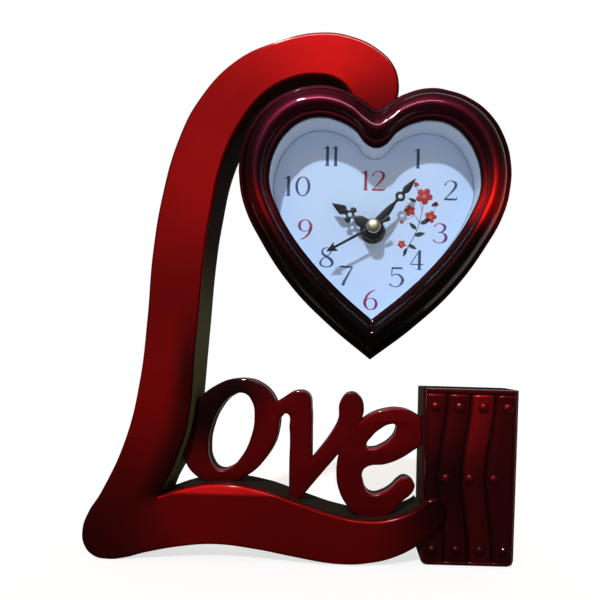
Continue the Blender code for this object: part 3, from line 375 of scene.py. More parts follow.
def ribbon_section(bends=6, across=36):
    """Sides, insets and depths of a hollow ribbon's section, with quarter circles as its front edges."""
    turn = quarter(bends + 1)
    edge = STAND_EDGE * (1 - np.stack([np.cos(turn), np.sin(turn)], 1))
    outside = np.concatenate([[(0.0, STAND_DEPTH), (0.0, STAND_DEPTH / 2)], edge])
    face = np.linspace(0.0, 1.0, across + 1)[1:-1]
    flat = np.stack([np.full(len(face), STAND_EDGE), np.zeros(len(face))], 1)
    inside = np.array([(STAND_WALL, STAND_DEPTH), (STAND_WALL, STAND_WALL)])
    side = np.concatenate([np.zeros(len(outside)), face, np.ones(len(outside) + 2), np.zeros(2)])
    inset, depth = np.concatenate([outside, flat, outside[::-1], inside, inside[::-1]]).T
    return side, inset, depth


def crest_facet(flat, depth, on_foot):
    """How far the crest leans back: its lean times the height over the level line, left of its end."""
    x, z = flat[..., 0], flat[..., 1]
    here = on_foot[:, None] & (x < CREST_END) & (depth < 2 * STAND_EDGE)
    return np.where(here, np.maximum(z - CREST_LINE, 0.0) * CREST_LEAN, 0.0)


def make_stand(rows=640):
    """The ribbon: edge points moved in by the section's inset, mixed across by its side, at its depth."""
    outer, inner = evenly([(leaves_heart(57.0, 59.0), leaves_heart(56.0, 55.0)), *RUNGS[1:]], rows)
    a, b = stand_line.at(outer), stand_line.at(inner)
    a_in, b_in = stand_line.inward(outer), stand_line.inward(inner)
    at_corner = np.abs(inner - INNER_CORNER) < CORNER_REACH
    b_in[at_corner] = unit(a - b)[at_corner]
    side, inset, depth = ribbon_section()
    most = MOST_INSET * np.linalg.norm(a - b, axis=1)[:, None]
    inset = np.minimum(inset[None, :], most)[..., None]
    share = side[None, :, None]
    flat = (a[:, None] + a_in[:, None] * inset) * (1 - share) + (b[:, None] + b_in[:, None] * inset) * share
    flat[0, :, 1] = heart_top(flat[0, :, 0], UNDER_BEZEL)
    past_cup = np.maximum(flat[..., 0], np.roll(flat[..., 0], -1, axis=0)) > CUP_LEFT - GAP
    painted = np.where(past_cup, np.minimum(depth, CUP_FACE - GAP), depth)
    depth = painted + crest_facet(flat, painted, outer > FOOT_START)
    flat = np.clip(flat, (cad_low.x, cad_low.z), (cad_high.x, cad_high.z))
    along = np.broadcast_to(np.linspace(0, 1, rows)[:, None], depth.shape)
    shares = {"along": along, "across": np.broadcast_to(side, depth.shape), "depth": painted}
    return make_grid("stand_front", in_space(flat, depth), ends=1, attributes=shares)


stand = dress(make_stand(), "stand_red", "stand_shell")

# %% [markdown]
# ## The bezel
#
# The bezel frames the dial with a domed crown between an outer skirt and an inner lip.
# Its section is a small closed drawing of insets and depths, carried round the heart's
# rings. The ring has a number for every knot of the heart, so the mitre at the heart's
# point falls exactly on a row of the grid.

# %% The bezel
BEZEL_SECTION = [
    (0.0, -0.3, "corner"), (0.0, -2.2), (0.5, -2.7), (1.4, -2.75), (1.9, -3.0), (2.7, -4.4),
    (4.4, -6.9), (6.6, -8.4), (9.0, -8.95), (11.0, -8.1), (12.1, -6.5), (12.8, -5.7), (13.6, -5.6),
    (14.9, -5.2), (15.45, -4.7), (15.5, -3.6, "corner"), (13.33, -3.6, "corner"), (13.33, 3.0, "corner"),
    (11.33, 3.0, "corner"), (11.33, -4.5, "corner"), (7.75, -6.5, "corner"), (5.1, -4.5, "corner"),
    (5.1, -0.3, "corner"),
]
RING_STEPS = 18
RING = np.arange(outer_heart.count * RING_STEPS) / RING_STEPS


def make_heart_band(name, section, steps=5):
    """A section carried round the heart: at numbers u and v, ring(u, inset(v)) at depth(v)."""
    inset, depth = SmoothLine(section).points(steps).T
    u, v = np.meshgrid(RING, inset, indexing="ij")
    shares = {"around": u / outer_heart.count, "inset": v / BEZEL_WIDTH}
    return make_grid(name, in_space(heart_ring(u, v), depth[None, :]), True, attributes=shares)


bezel = dress(make_heart_band("bezel", BEZEL_SECTION), "dark_cherry", "heart_bezel")

# %% [markdown]
# ## The pan and the dial
#
# Behind the lens a pale wall goes back to the dial. Pan and dial are plates with a hole
# for the movement's bush, so their rings shrink from the heart to that round hole: a
# ring's point is a heart point mixed with the hole's point in the same direction.

# %% Pan and dial
LENS_BACK, DIAL_DEPTH, CARD_BACK, PAN_FLOOR, PAN_BACK = (v * MM for v in (-1.8, 12.9, 13.4, 13.7, 15.1))
BUSH_HOLE = 4.3 * MM


def make_heart_plate(name, profile):
    """A plate with a round hole. Its closed profile holds insets, shares towards the hole, and depths."""
    inset, share, depth = np.array(profile).T
    ring = heart_ring(*np.meshgrid(RING, inset, indexing="ij"))
    hole = PIVOT + unit(ring - PIVOT) * BUSH_HOLE
    share = share[None, :, None]
    return make_grid(name, in_space(ring * (1 - share) + hole * share, depth[None, :]), True)


def across_plate(inset, depth, start=0.0, end=1.0, steps=10):
    """Profile points over a plate, from a share towards the hole to another."""
    return [(inset, share, depth) for share in np.linspace(start, end, steps)]


pan_out, pan_in, pan_rim = BEZEL_WIDTH - 1.7 * MM, BEZEL_WIDTH - GAP, LENS_BACK + GAP
RIM_CHAMFER, FLOOR_CHAMFER, FLOOR_BEND = 0.2 * MM, 0.1 * MM, 1.5 * MM
PAN_PROFILE = [
    (pan_in, 0.0, pan_rim + RIM_CHAMFER), (pan_in, 0.0, PAN_FLOOR - FLOOR_BEND),
    (pan_in, 0.0, PAN_FLOOR - FLOOR_CHAMFER), *across_plate(pan_in + FLOOR_CHAMFER, PAN_FLOOR),
    *across_plate(pan_out, PAN_BACK, 1.0, 0.0), (pan_out, 0.0, pan_rim), (pan_in - RIM_CHAMFER, 0.0, pan_rim),
]
pan = dress(make_heart_plate("dial_pan_wall", PAN_PROFILE), "pale_grey", "dial_pan")
CARD_PROFILE = across_plate(BEZEL_WIDTH, DIAL_DEPTH) + across_plate(BEZEL_WIDTH, CARD_BACK, 1.0, 0.0)
card = dress(make_heart_plate("dial_face", CARD_PROFILE), "dial_white", "dial_card")

# %% [markdown]
# ## The openwork letters
#
# The letters are plates with rounded edges, cut so that they fit between stem, foot and
# cup. A flat curve with a bevel is Blender's tool for such a plate, and three curves
# are welded into one moulding with a Boolean.

# %% The letters' outlines
LETTER_SETBACK, LETTER_THICKNESS, LETTER_EDGE, PLATE_SMOOTH = 9.0 * MM, 10.0 * MM, 1.2 * MM, 30.0
O_OUTER = {"centre": (-38.0, 65.6), "half": (23.6, 29.9), "lean": 34.0}
O_INNER = {"centre": (-37.5, 65.4), "half": (10.6, 21.0), "lean": 16.5}
V_OUTLINE = [
    (-17.5, 78.0), (-10.5, 84.2), (-3.0, 88.1), (2.6, 86.4), (4.6, 78.0),
    (5.0, 66.0), (5.3, 52.5, "corner"), (15.2, 66.4), (18.5, 73.6), (19.3, 82.6),
    (24.6, 87.9), (29.9, 85.6), (32.0, 80.2), (31.0, 73.6), (26.0, 62.0),
    (18.3, 53.9, "corner"), (2.8, 34.7), (-3.0, 27.0, "corner"), (-6.2, 27.0, "corner"), (-6.7, 48.0),
    (-7.1, 68.0), (-8.6, 75.4), (-12.0, 73.0), (-18.0, 66.0),
]
E_OUTLINE = [
    (28.0, 70.5), (35.2, 76.4), (42.6, 79.3), (50.2, 80.2), (58.4, 78.0),
    (64.2, 73.2), (66.2, 67.4), (64.0, 62.0), (59.0, 58.1), (51.7, 53.3),
    (43.9, 50.2), (34.6, 48.6), (32.2, 46.0), (32.6, 40.6), (34.6, 36.0),
    (38.0, 34.4), (42.4, 35.4), (47.4, 38.5), (51.0, 42.2), (54.2, 43.9),
    (57.4, 43.0), (59.8, 40.0), (59.2, 36.6), (57.2, 34.0), (54.4, 31.6),
    (47.0, 24.0), (38.0, 20.0), (29.0, 23.5), (23.4, 29.2), (19.8, 36.2),
    (18.3, 44.1), (18.9, 53.0), (22.0, 62.0),
]
E_EYE = [
    (34.2, 59.2), (37.0, 65.1), (40.8, 68.6), (45.8, 71.3), (48.8, 71.0),
    (48.7, 67.4), (46.2, 63.6), (41.6, 60.2), (37.0, 58.6),
]
print("outline points:", len(V_OUTLINE), len(E_OUTLINE), len(E_EYE))


# %% The letters
def leaning_ellipse(values, points=12):
    """Points of an ellipse, turned clockwise by its lean."""
    turn, lean = whole_turn(points), math.radians(values["lean"])
    x, z = values["half"][0] * np.cos(turn), values["half"][1] * np.sin(turn)
    x, z = x * math.cos(lean) + z * math.sin(lean), z * math.cos(lean) - x * math.sin(lean)
    return [(values["centre"][0] + float(a), values["centre"][1] + float(b)) for a, b in zip(x, z)]


def evaluated(holder):
    """The mesh that Blender makes of a curve or of an object with modifiers."""
    bpy.context.view_layer.update()
    return bpy.data.meshes.new_from_object(holder.evaluated_get(bpy.context.evaluated_depsgraph_get()))


def make_plate(name, outlines, front, back, edge, rounding=5, resolution=14, shift=DRAWING):
    """A flat curve given thickness and rounded edges, then stood up to face forward at its depth."""
    holder = draw_curve(outlines, name)
    curve = holder.data
    curve.resolution_u = resolution
    curve.extrude = (back - front) / 2 - edge
    curve.bevel_depth, curve.bevel_resolution, curve.offset = edge, rounding, -edge
    mesh = evaluated(holder)
    bpy.data.objects.remove(holder)
    flat = np.empty(len(mesh.vertices) * 3, np.float32)
    mesh.vertices.foreach_get("co", flat)
    x, z, thick = flat.reshape(-1, 3).T
    placed = np.stack([x + shift[0], FRONT + (front + back) / 2 - thick, z + shift[1]], 1)
    mesh.vertices.foreach_set("co", placed.astype(np.float32).ravel())
    return tidy_mesh(add_object(name, mesh), PLATE_SMOOTH)


def weld(target, *others):
    """Joins solids into the first with an exact Boolean each."""
    for other in others:
        step = target.modifiers.new("weld", "BOOLEAN")
        step.operation, step.solver, step.object = "UNION", "EXACT", other
        mesh = evaluated(target)
        target.modifiers.clear()
        target.data = mesh
        bpy.data.objects.remove(other)
    return tidy_mesh(target, PLATE_SMOOTH)


def make_letters():
    """Three letters in one plate, cut off by a plane where the cup begins."""
    drawings = {
        "letters": [leaning_ellipse(O_OUTER), leaning_ellipse(O_INNER)],
        "letter_middle": [V_OUTLINE],
        "letter_end": [E_OUTLINE, E_EYE],
    }
    depths = LETTER_SETBACK, LETTER_SETBACK + LETTER_THICKNESS
    letters = weld(*(make_plate(name, lines, *depths, LETTER_EDGE) for name, lines in drawings.items()))
    with edit_mesh(letters.data) as bm:
        bmesh.ops.bisect_plane(bm, geom=bm.verts[:] + bm.edges[:] + bm.faces[:], clear_outer=True,
                               plane_co=(CUP_LEFT - GAP, 0, 0), plane_no=(1, 0, 0))
        bmesh.ops.holes_fill(bm, edges=[edge for edge in bm.edges if edge.is_boundary], sides=0)
    return tidy_mesh(letters, PLATE_SMOOTH)


letters = dress(make_letters(), "dark_cherry", "openwork_letters")

# %% [markdown]
# ## The cup
#
# The cup is a square tube with a floor, a little narrower at its foot. Its rings are
# rounded rectangles, with small corners in front, where the panel sits, and large ones
# behind. The list of levels takes the rings up the outside, over the rim and down inside.

# %% The cup's body
CUP_WALL, CUP_CORNER, CUP_DRAFT, CUP_RIM = 1.8 * MM, 3.5 * MM, 0.6 * MM, 0.4 * MM
HOLLOW_CORNER, PANEL_THICKNESS = 1.2 * MM, 2.0 * MM
CUP_HEIGHT = cup_high.z
cup_front, cup_back = CUP_FACE + PANEL_THICKNESS + GAP, cup_high.y - FRONT


def rounded_rectangle(half, front, back, radii, bends=8):
    """A ring of four straight sides and four quarter circles, front corners first."""
    corners = [(-half, front, 1, 1, math.pi), (half, front, -1, 1, 1.5 * math.pi),
               (half, back, -1, -1, 0.0), (-half, back, 1, -1, 0.5 * math.pi)]
    turn = quarter(bends + 1)
    arcs = [np.stack([x + right * r + r * np.cos(turn + start), y + up * r + r * np.sin(turn + start)], 1)
            for (x, y, right, up, start), r in zip(corners, radii)]
    return np.concatenate(arcs)


def make_cup(bends=8):
    """Rounded rectangles by level: outside upwards, over the rim, inside downwards."""
    arc = [(1 - math.cos(turn), 1 - math.sin(turn)) for turn in quarter(bends)]
    foot = [(CUP_CORNER * far, CUP_CORNER * near, False) for near, far in arc]
    rim = [(CUP_RIM * near, CUP_HEIGHT - CUP_RIM * far, False) for near, far in arc]
    lip = [(CUP_WALL - shrink, height, True) for shrink, height, hollow in rim]
    inside = [(CUP_WALL, CUP_HEIGHT / 2, True), (CUP_WALL, CUP_WALL + MM, True),
              (CUP_WALL + MM, CUP_WALL, True)]
    rings = []
    for shrink, height, hollow in foot + [(0.0, CUP_HEIGHT / 2, False)] + rim + lip[::-1] + inside:
        half = CUP_HALF - CUP_DRAFT * (1 - height / CUP_HEIGHT) - shrink
        front = cup_front + (shrink if hollow else 0.0)
        corner = HOLLOW_CORNER if hollow else max(CUP_CORNER - shrink, GAP)
        ring = rounded_rectangle(half, front, cup_back - shrink, [GAP, GAP, corner, corner])
        rings.append(in_space(np.stack([CUP_X + ring[:, 0], np.full(len(ring), height)], 1), ring[:, 1]))
    return make_grid("cup_body", np.array(rings), ends=2)


cup = dress(make_cup(), "dark_cherry", "pen_cup")

# %% [markdown]
# ## The panel
#
# The cup's front is a moulded panel that plays at being four planks: wavy joints, a
# smooth strip along the top, a thin frame and round rivet heads. A height field does
# all of it. Each feature is one formula of the place on the panel.

# %% The panel's relief
PANEL_INSET, PANEL_EDGE, LIP_HEIGHT, FRAME_WIDTH = 1.2 * MM, 0.8 * MM, 2.4 * MM, 1.6 * MM
PLANKS = 4
PLANK_WIDTH = 2 * CUP_HALF / PLANKS
PLANK_FALL, PLANK_SLOPE = 0.45 * MM, 5.0 * MM
# Grooves as their depth and width, and how far they lie under the lip and over the foot
JOINT_GROOVE, LIP_GROOVE = (0.7 * MM, 0.65 * MM), (0.45 * MM, 0.5 * MM)
SIDE_GROOVE, FOOT_GROOVE = (0.35 * MM, 0.45 * MM), (0.3 * MM, 0.4 * MM)
UNDER_LIP, OVER_FOOT = 0.4 * MM, 2.3 * MM
JOINT_SWAY = [
    (0.0, 0.0), (0.0, 0.017), (-0.1, 0.087), (-0.6, 0.169), (-1.9, 0.272), (-3.5, 0.387), (-4.3, 0.479),
    (-4.2, 0.545), (-3.2, 0.654), (-2.0, 0.741), (-0.9, 0.822), (-0.2, 0.904), (0.0, 0.974), (0.0, 1.0),
]


def smooth_step(value, low, high):
    """0 below low, 1 above high, and 3 t^2 - 2 t^3 between."""
    t = np.clip((value - low) / (high - low), 0.0, 1.0)
    return t * t * (3 - 2 * t)


def groove(distance, size):
    """A soft channel: its depth times e to the minus square of the distance over its width."""
    depth, width = size
    return depth * np.exp(-((distance / width) ** 2))


def joint_sway(z):
    """How far the plank joints lean sideways at a height, with the drawing's bends rounded."""
    sway, share = np.array(JOINT_SWAY).T
    fine = np.linspace(-0.1, 1.1, 481)
    window = np.hanning(41) / np.hanning(41).sum()
    rounded = np.convolve(np.interp(fine, share, sway), window, mode="same")
    return np.interp(z / CUP_HEIGHT, fine, rounded) * MM


def panel_relief(x, z):
    """Planks that fall towards their joints, with a groove in each joint, under the lip and in the frame."""
    lip = CUP_HEIGHT - LIP_HEIGHT
    place = (x - joint_sway(z)) / PLANK_WIDTH
    nearest = np.clip(np.round(place), 1 - PLANKS / 2, PLANKS / 2 - 1)
    off = np.abs(place - nearest) * PLANK_WIDTH
    reach = CUP_HALF - PANEL_INSET - FRAME_WIDTH
    inside = (1 - smooth_step(z, lip - 0.9 * MM, lip - 0.3 * MM)) * smooth_step(z, 1.9 * MM, 2.6 * MM)
    inside *= 1 - smooth_step(np.abs(x), reach - 0.5 * MM, reach)
    fall = PLANK_FALL * (1 - smooth_step(off, 0.0, PLANK_SLOPE)) + groove(off, JOINT_GROOVE)
    frame_lines = groove(np.abs(x) - reach, SIDE_GROOVE) + groove(z - OVER_FOOT, FOOT_GROOVE)
    return -fall * inside - groove(z - lip + UNDER_LIP, LIP_GROOVE) - frame_lines


half_way_up = panel_relief(np.linspace(-CUP_HALF, CUP_HALF, 400), CUP_HEIGHT / 2)
print("relief half way up the panel, in mm:", round(float(half_way_up.min()) / MM, 2))

# %% The panel's tones, largely painted highlight and shade
PLANK_TONES_WITH_PAINTED_LIGHT = [(0.36, 0.08, 0.16), (0.28, 0.05, 0.16), (0.78, 0.22, 0.25), (0.20, 0.16, 0.15)]
LIP_TONE, JOINT_SHADE = 0.26, (0.75, 1.1 * MM)
print("plank tones from", min(map(min, PLANK_TONES_WITH_PAINTED_LIGHT)), "to", max(map(max, PLANK_TONES_WITH_PAINTED_LIGHT)))


def plank_tone_with_painted_light(x, z):
    """Each plank's tone at top, middle and foot, largely painted light; painted shade in the joints; the
    lip's tone.
    """
    place = (x - joint_sway(z)) / PLANK_WIDTH + PLANKS / 2
    row = np.clip(np.floor(place), 0, PLANKS - 1).astype(int)
    top, middle, foot = np.array(PLANK_TONES_WITH_PAINTED_LIGHT)[row].transpose(2, 0, 1)
    lower = foot + (middle - foot) * smooth_step(z, 0.12 * CUP_HEIGHT, 0.45 * CUP_HEIGHT)
    tone = lower + (top - lower) * smooth_step(z, 0.48 * CUP_HEIGHT, 0.84 * CUP_HEIGHT)
    off = (place - np.clip(np.round(place), 1, PLANKS - 1)) * PLANK_WIDTH
    on_lip = smooth_step(z, CUP_HEIGHT - LIP_HEIGHT - 0.6 * MM, CUP_HEIGHT - LIP_HEIGHT)
    return tone * (1 - groove(off, JOINT_SHADE)) * (1 - on_lip) + LIP_TONE * on_lip


# %% The panel and its rivets
RIVET_RADIUS, RIVET_HEIGHT, RIVET_SUNK = 2.75 * MM, 1.4 * MM, 0.6 * MM
RIVET_FROM_TOP, RIVET_FROM_FOOT = 9.5 * MM, 8.2 * MM


def make_panel(columns=190, rows=330):
    """A front grid of the relief with a rounded border, closed by a flat back of one strip."""
    half, low = CUP_HALF - PANEL_INSET, PANEL_INSET
    s, t = np.meshgrid(np.linspace(-1, 1, columns), np.linspace(0, 1, rows), indexing="xy")
    z = low + t * (CUP_HEIGHT - low)
    reach = half - CUP_DRAFT * (1 - z / CUP_HEIGHT)
    x = s * reach
    edge = np.minimum(np.minimum(reach - np.abs(x), z - low), CUP_HEIGHT - z)
    fall = PANEL_EDGE - np.sqrt(PANEL_EDGE ** 2 - np.clip(PANEL_EDGE - edge, 0, PANEL_EDGE) ** 2)
    flat = np.stack([CUP_X + x, z], -1)
    front = in_space(flat, CUP_FACE - panel_relief(x, z) + fall)
    back = in_space(flat[:, [-1, 0]], CUP_FACE + PANEL_THICKNESS)
    # The planks' tones, painted highlight and shade, go with the mesh.
    tone = np.concatenate([plank_tone_with_painted_light(x, z), np.zeros((rows, 2))], axis=1)
    points = np.concatenate([front, back], axis=1)
    return make_grid("panel", points, ends=2, smooth=60.0, attributes={"tone": tone})


def make_rivets(rings=9, around=28):
    """Round heads: a quarter ellipse turned about each rivet's axis, closed inside the panel."""
    top = CUP_HEIGHT - RIVET_FROM_TOP
    heights = [(top, PLANKS), ((top + RIVET_FROM_FOOT) / 2, PLANKS - 1), (RIVET_FROM_FOOT, PLANKS)]
    places = [(CUP_X + (i - (count - 1) / 2) * PLANK_WIDTH, z) for z, count in heights for i in range(count)]
    rise, turn = quarter(rings), whole_turn(around)
    radius = np.concatenate([[0.0, RIVET_RADIUS], RIVET_RADIUS * np.cos(rise)])[:, None]
    height = np.concatenate([[-RIVET_SUNK, -RIVET_SUNK], RIVET_HEIGHT * np.sin(rise)])[:, None]
    ring = np.stack([radius * np.cos(turn), radius * np.sin(turn)], -1)
    heads = [in_space(ring + place, CUP_FACE - height) for place in places]
    grid = grid_faces(len(radius), around)
    faces = np.concatenate([grid + i * len(radius) * around for i in range(len(places))])
    return make_piece("rivets", np.array(heads), faces, smooth=50.0)


panel = dress(make_panel(), "dark_cherry", "cup_front_panel")
rivets = dress(make_rivets(), "dark_cherry", "cup_front_panel")

# %% [markdown]
# ## The hands
#
# Stamped hands are flat blades with an eye, on a turned hub that grips its tube. A blade
# is half an outline, mirrored and turned to the time, and a plate is made of it as of
# the letters. A hub is a profile of radius and depth, turned about the hands' axis.

# %% Blades and turned parts
HOUR_HALF = [
    (0.0, 0.0), (2.3, 2.5), (3.0, 6.2), (2.4, 9.2), (0.9, 11.6), (1.7, 12.6), (3.3, 11.8, "corner"),
    (4.4, 13.6), (3.4, 15.6, "corner"), (1.9, 15.4), (1.3, 16.6), (2.6, 18.4), (2.0, 20.8),
    (0.0, 25.5, "corner"),
]
MINUTE_HALF = [
    (0.0, 0.0), (2.1, 3.0), (2.2, 8.0), (1.7, 13.0), (1.0, 18.9), (2.2, 19.9), (2.7, 21.4), (2.1, 22.9),
    (1.1, 23.8), (1.8, 25.6), (1.3, 29.5), (0.0, 34.0, "corner"),
]
SECOND_HALF = [
    (0.0, -9.6), (1.2, -9.0), (1.2, -7.6), (0.75, -5.6), (0.75, 0.0), (0.6, 22.6, "corner"),
    (2.6, 21.8, "corner"), (0.0, 27.5, "corner"),
]
# In millimetres: a blade's thickness, an edge's chamfer, the disc's step, the hub before and behind
HAND_THICKNESS, CHAMFER, DISC_STEP, HUB_FRONT, HUB_BACK = 0.5, 0.08, 0.06, 0.3, 0.6
print("hands' lengths in mm:", [half[-1][1] for half in (HOUR_HALF, MINUTE_HALF, SECOND_HALF)])


def on_clock(outline, angle):
    """Points turned clockwise: x cos a + z sin a, z cos a - x sin a."""
    c, s = math.cos(math.radians(angle)), math.sin(math.radians(angle))
    return [(x * c + z * s, z * c - x * s, *rest) for x, z, *rest in outline]


def make_turned(name, profile, around=72):
    """A closed profile of radii and depths in millimetres, turned about the hands' axis."""
    radius, depth = np.array(profile).T * MM
    turn = whole_turn(around)
    ring = np.stack([np.cos(turn), np.sin(turn)], -1)[:, None] * radius[None, :, None] + PIVOT
    return make_grid(name, in_space(ring, depth[None, :]), True, smooth=35.0)


def hub_profile(bore, hub, disc, front):
    """Steps from the tube's bore over hub and disc, each edge broken by a small chamfer."""
    back, c = front + HAND_THICKNESS, CHAMFER
    first, last = front - HUB_FRONT, back + HUB_BACK
    return [(bore, first), (hub - c, first), (hub, first + c), (hub, front - DISC_STEP),
            (disc - c, front - DISC_STEP), (disc, front), (disc, back), (disc - c, back + DISC_STEP),
            (hub, back + DISC_STEP), (hub, last - c), (hub - c, last), (bore, last)]


def make_hand(part, half, angle, front, bore, hub, disc, eye=None):
    """A blade and its hub for one hand; both ride on the hand's body. An eye is a height and a radius."""
    lines = [on_clock(whole(half), angle)]
    if eye:
        circle = {"centre": (0.0, eye[0]), "half": (eye[1], eye[1]), "lean": 0.0}
        lines.append(on_clock(leaning_ellipse(circle, 8), angle))
    depths = front * MM, (front + HAND_THICKNESS) * MM
    blade = make_plate(part + "_blade", lines, *depths, CHAMFER * MM, 2, 10, PIVOT)
    core = make_turned(part + "_hub", hub_profile(bore, hub, disc, front))
    return [dress(piece, "black_paint", part, body=part + "_set") for piece in (blade, core)]


# %% Three hands and their cap
hands = [
    *make_hand("hour_hand", HOUR_HALF, angle=300.2, front=6.6, bore=2.65, hub=4.25, disc=5.5,
               eye=(14.2, 1.15)),
    *make_hand("minute_hand", MINUTE_HALF, angle=39.4, front=3.8, bore=1.65, hub=3.25, disc=4.7,
               eye=(21.4, 1.15)),
    *make_hand("second_hand", SECOND_HALF, angle=240.3, front=1.0, bore=0.65, hub=2.25, disc=2.6),
]
DOME_RADIUS, DOME_HEIGHT, DOME_FOOT = 3.6, 1.45, -0.05
CAP_FLANGE = [(0.02, 0.4), (3.5, 0.4), (3.75, 0.3), (3.75, 0.05), (3.62, DOME_FOOT)]
dome = [(DOME_RADIUS * math.cos(rise) ** 0.9, DOME_FOOT - DOME_HEIGHT * math.sin(rise))
        for rise in np.linspace(0.0, math.pi / 2 - 0.02, 14)]
dome_cap = dress(make_turned("cap_dome", CAP_FLANGE + dome), "brass", "hand_cap", body="second_hand_set")

# %% [markdown]
# ## The dial's print
#
# The numerals are drawn with a broad pen: each stroke is a smooth line with a width at
# each of its points, thick where it goes up and down and thin where it goes across. Ink
# has a little body on coated card, so a stroke is a very low ridge. A plain sprig of
# flowers in similar inks decorates the right half.

# %% Pen strokes
NUMERALS = {
    "1": [[(-1.9, 3.7, 0.3), (-0.7, 4.3, 0.4), (0.3, 5.2, 0.7)], [(0.3, 5.1, 1.25), (0.3, -5.1, 1.25)],
          [(-0.9, -5.1, 0.35), (1.5, -5.1, 0.35)]],
    "2": [[(-3.0, 2.5, 0.8), (-2.4, 4.1, 0.4), (0.0, 5.1, 0.4), (2.3, 4.1, 1.0), (2.6, 2.4, 1.25),
           (1.4, 0.2, 0.9), (-1.2, -2.8, 0.5), (-3.2, -4.8, 0.4)],
          [(-3.3, -4.8, 0.85), (1.8, -4.8, 0.85), (3.1, -4.6, 0.6), (3.4, -3.5, 0.3)]],
    "3": [[(-3.0, 3.4, 0.8), (-2.2, 4.7, 0.4), (0.0, 5.1, 0.4), (2.2, 4.1, 1.1), (2.3, 2.2, 1.1),
           (0.9, 0.8, 0.5), (-0.9, 0.5, 0.35)],
          [(-0.5, 0.5, 0.35), (1.4, 0.2, 0.5), (3.0, -1.3, 1.2), (3.0, -3.2, 1.3), (1.2, -4.9, 0.5),
           (-1.0, -5.1, 0.4), (-3.0, -4.3, 0.5), (-3.3, -3.4, 0.9)]],
    "4": [[(1.2, 5.1, 1.2), (1.2, -5.1, 1.2)], [(1.2, 5.2, 0.4), (-3.6, -2.4, 0.35)],
          [(-3.7, -2.4, 0.45), (3.4, -2.4, 0.45)], [(-0.2, -5.1, 0.35), (2.6, -5.1, 0.35)]],
    "5": [[(-2.5, 4.8, 0.85), (3.0, 4.8, 0.85)], [(-2.4, 5.0, 0.45), (-2.6, 0.7, 0.4)],
          [(-2.7, 0.6, 0.35), (-0.8, 1.5, 0.4), (1.4, 1.2, 0.7), (3.1, -0.6, 1.2), (3.1, -2.5, 1.25),
           (1.4, -4.7, 0.5), (-0.8, -5.1, 0.4), (-2.9, -4.4, 0.5), (-3.4, -3.6, 0.9)]],
    "6": [[(2.3, 5.3, 0.35), (0.4, 4.5, 0.6), (-1.7, 2.6, 0.95), (-3.0, -0.4, 1.25), (-3.0, -2.6, 1.25),
           (-1.6, -4.7, 0.6), (0.2, -5.15, 0.4), (2.3, -4.2, 0.9), (3.0, -2.2, 1.25), (2.4, -0.2, 0.9),
           (0.6, 0.9, 0.4), (-1.4, 0.5, 0.35), (-2.7, -0.8, 0.35)]],
    "7": [[(-3.3, 3.9, 0.35), (-3.1, 4.6, 0.7), (-2.6, 4.8, 0.85), (3.2, 4.8, 0.85)],
          [(3.3, 4.9, 0.45), (1.4, 1.4, 0.8), (-0.9, -3.0, 1.2), (-1.7, -5.2, 1.3)]],
    "8": [[(0.3, 0.3, 1.1), (-1.8, 1.7, 1.1), (-2.3, 3.2, 0.8), (-1.4, 4.7, 0.5), (0.2, 5.1, 0.35),
           (1.8, 4.6, 0.4), (2.3, 3.2, 0.6), (1.6, 1.7, 0.45), (0.0, 0.4, 0.4), (-2.2, -1.0, 0.5),
           (-3.2, -2.8, 0.95), (-2.5, -4.4, 0.7), (0.0, -5.15, 0.4), (2.5, -4.4, 0.7), (3.2, -2.8, 1.2),
           (2.3, -1.0, 1.25), (0.3, 0.3, 1.1)]],
    "0": [[(math.sin(a) * 3.3, math.cos(a) * 5.0, 0.4 + 0.75 * abs(math.sin(a)) ** 1.5)
           for a in (i * math.tau / 16 for i in range(17))]],
}
NUMERALS["9"] = [[(-x, -z, w) for x, z, w in stroke] for stroke in NUMERALS["6"]]
HOURS = {
    "brick": {"12": (0.0, 27.0)},
    "crimson": {"3": (36.0, 0.0), "6": (0.0, -36.5), "9": (-36.0, 0.0)},
    "slate": {"1": (22.9, 39.5), "2": (41.0, 23.0), "4": (24.2, -14.5), "5": (13.4, -24.0),
              "7": (-13.4, -24.0), "8": (-24.2, -14.5), "10": (-41.0, 23.0), "11": (-22.9, 39.5)},
}
DIGIT_PLACES = {"10": (-4.7, 3.2), "11": (-2.5, 1.9), "12": (-4.7, 2.4)}
print("digits:", sorted(NUMERALS), "inks:", list(HOURS))

# %% Ink on the card
INK_BODY, PEN_WEIGHT = 0.03 * MM, 1.3


def smooth_through(points, steps=8):
    """A Catmull-Rom line through a, b, c, d: half of 2b + (c-a)t + (2a-5b+4c-d)t^2 + (3b-a-3c+d)t^3."""
    p = np.array([points[0], *points, points[-1]], float)
    a, b, c, d = (p[i:len(p) - 3 + i, None] for i in range(4))
    t = (np.arange(steps) / steps)[None, :, None]
    line = (2 * b + (c - a) * t + (2 * a - 5 * b + 4 * c - d) * t ** 2 + (3 * b - a - 3 * c + d) * t ** 3) / 2
    return np.concatenate([line.reshape(-1, p.shape[1]), p[-1:]])


def ink_stroke(points, shift=(0.0, 0.0), weight=1.0):
    """A ridge along a line: at each point both edges on the card and, just inside them, the ink's top."""
    x, z, width = smooth_through(points).T
    centre = np.stack([x, z], 1)
    along = unit(np.gradient(centre, axis=0))
    side = np.stack([along[:, 1], -along[:, 0]], 1) * width[:, None] * weight / 2
    across = np.array([-1.0, -0.9, 0.9, 1.0])[None, :, None]
    flat = (centre[:, None] + side[:, None] * across + np.array(shift)) * MM + PIVOT
    depth = DIAL_DEPTH + np.array([0.6, -1.0, -1.0, 0.6]) * INK_BODY
    return in_space(flat, depth[None, :])


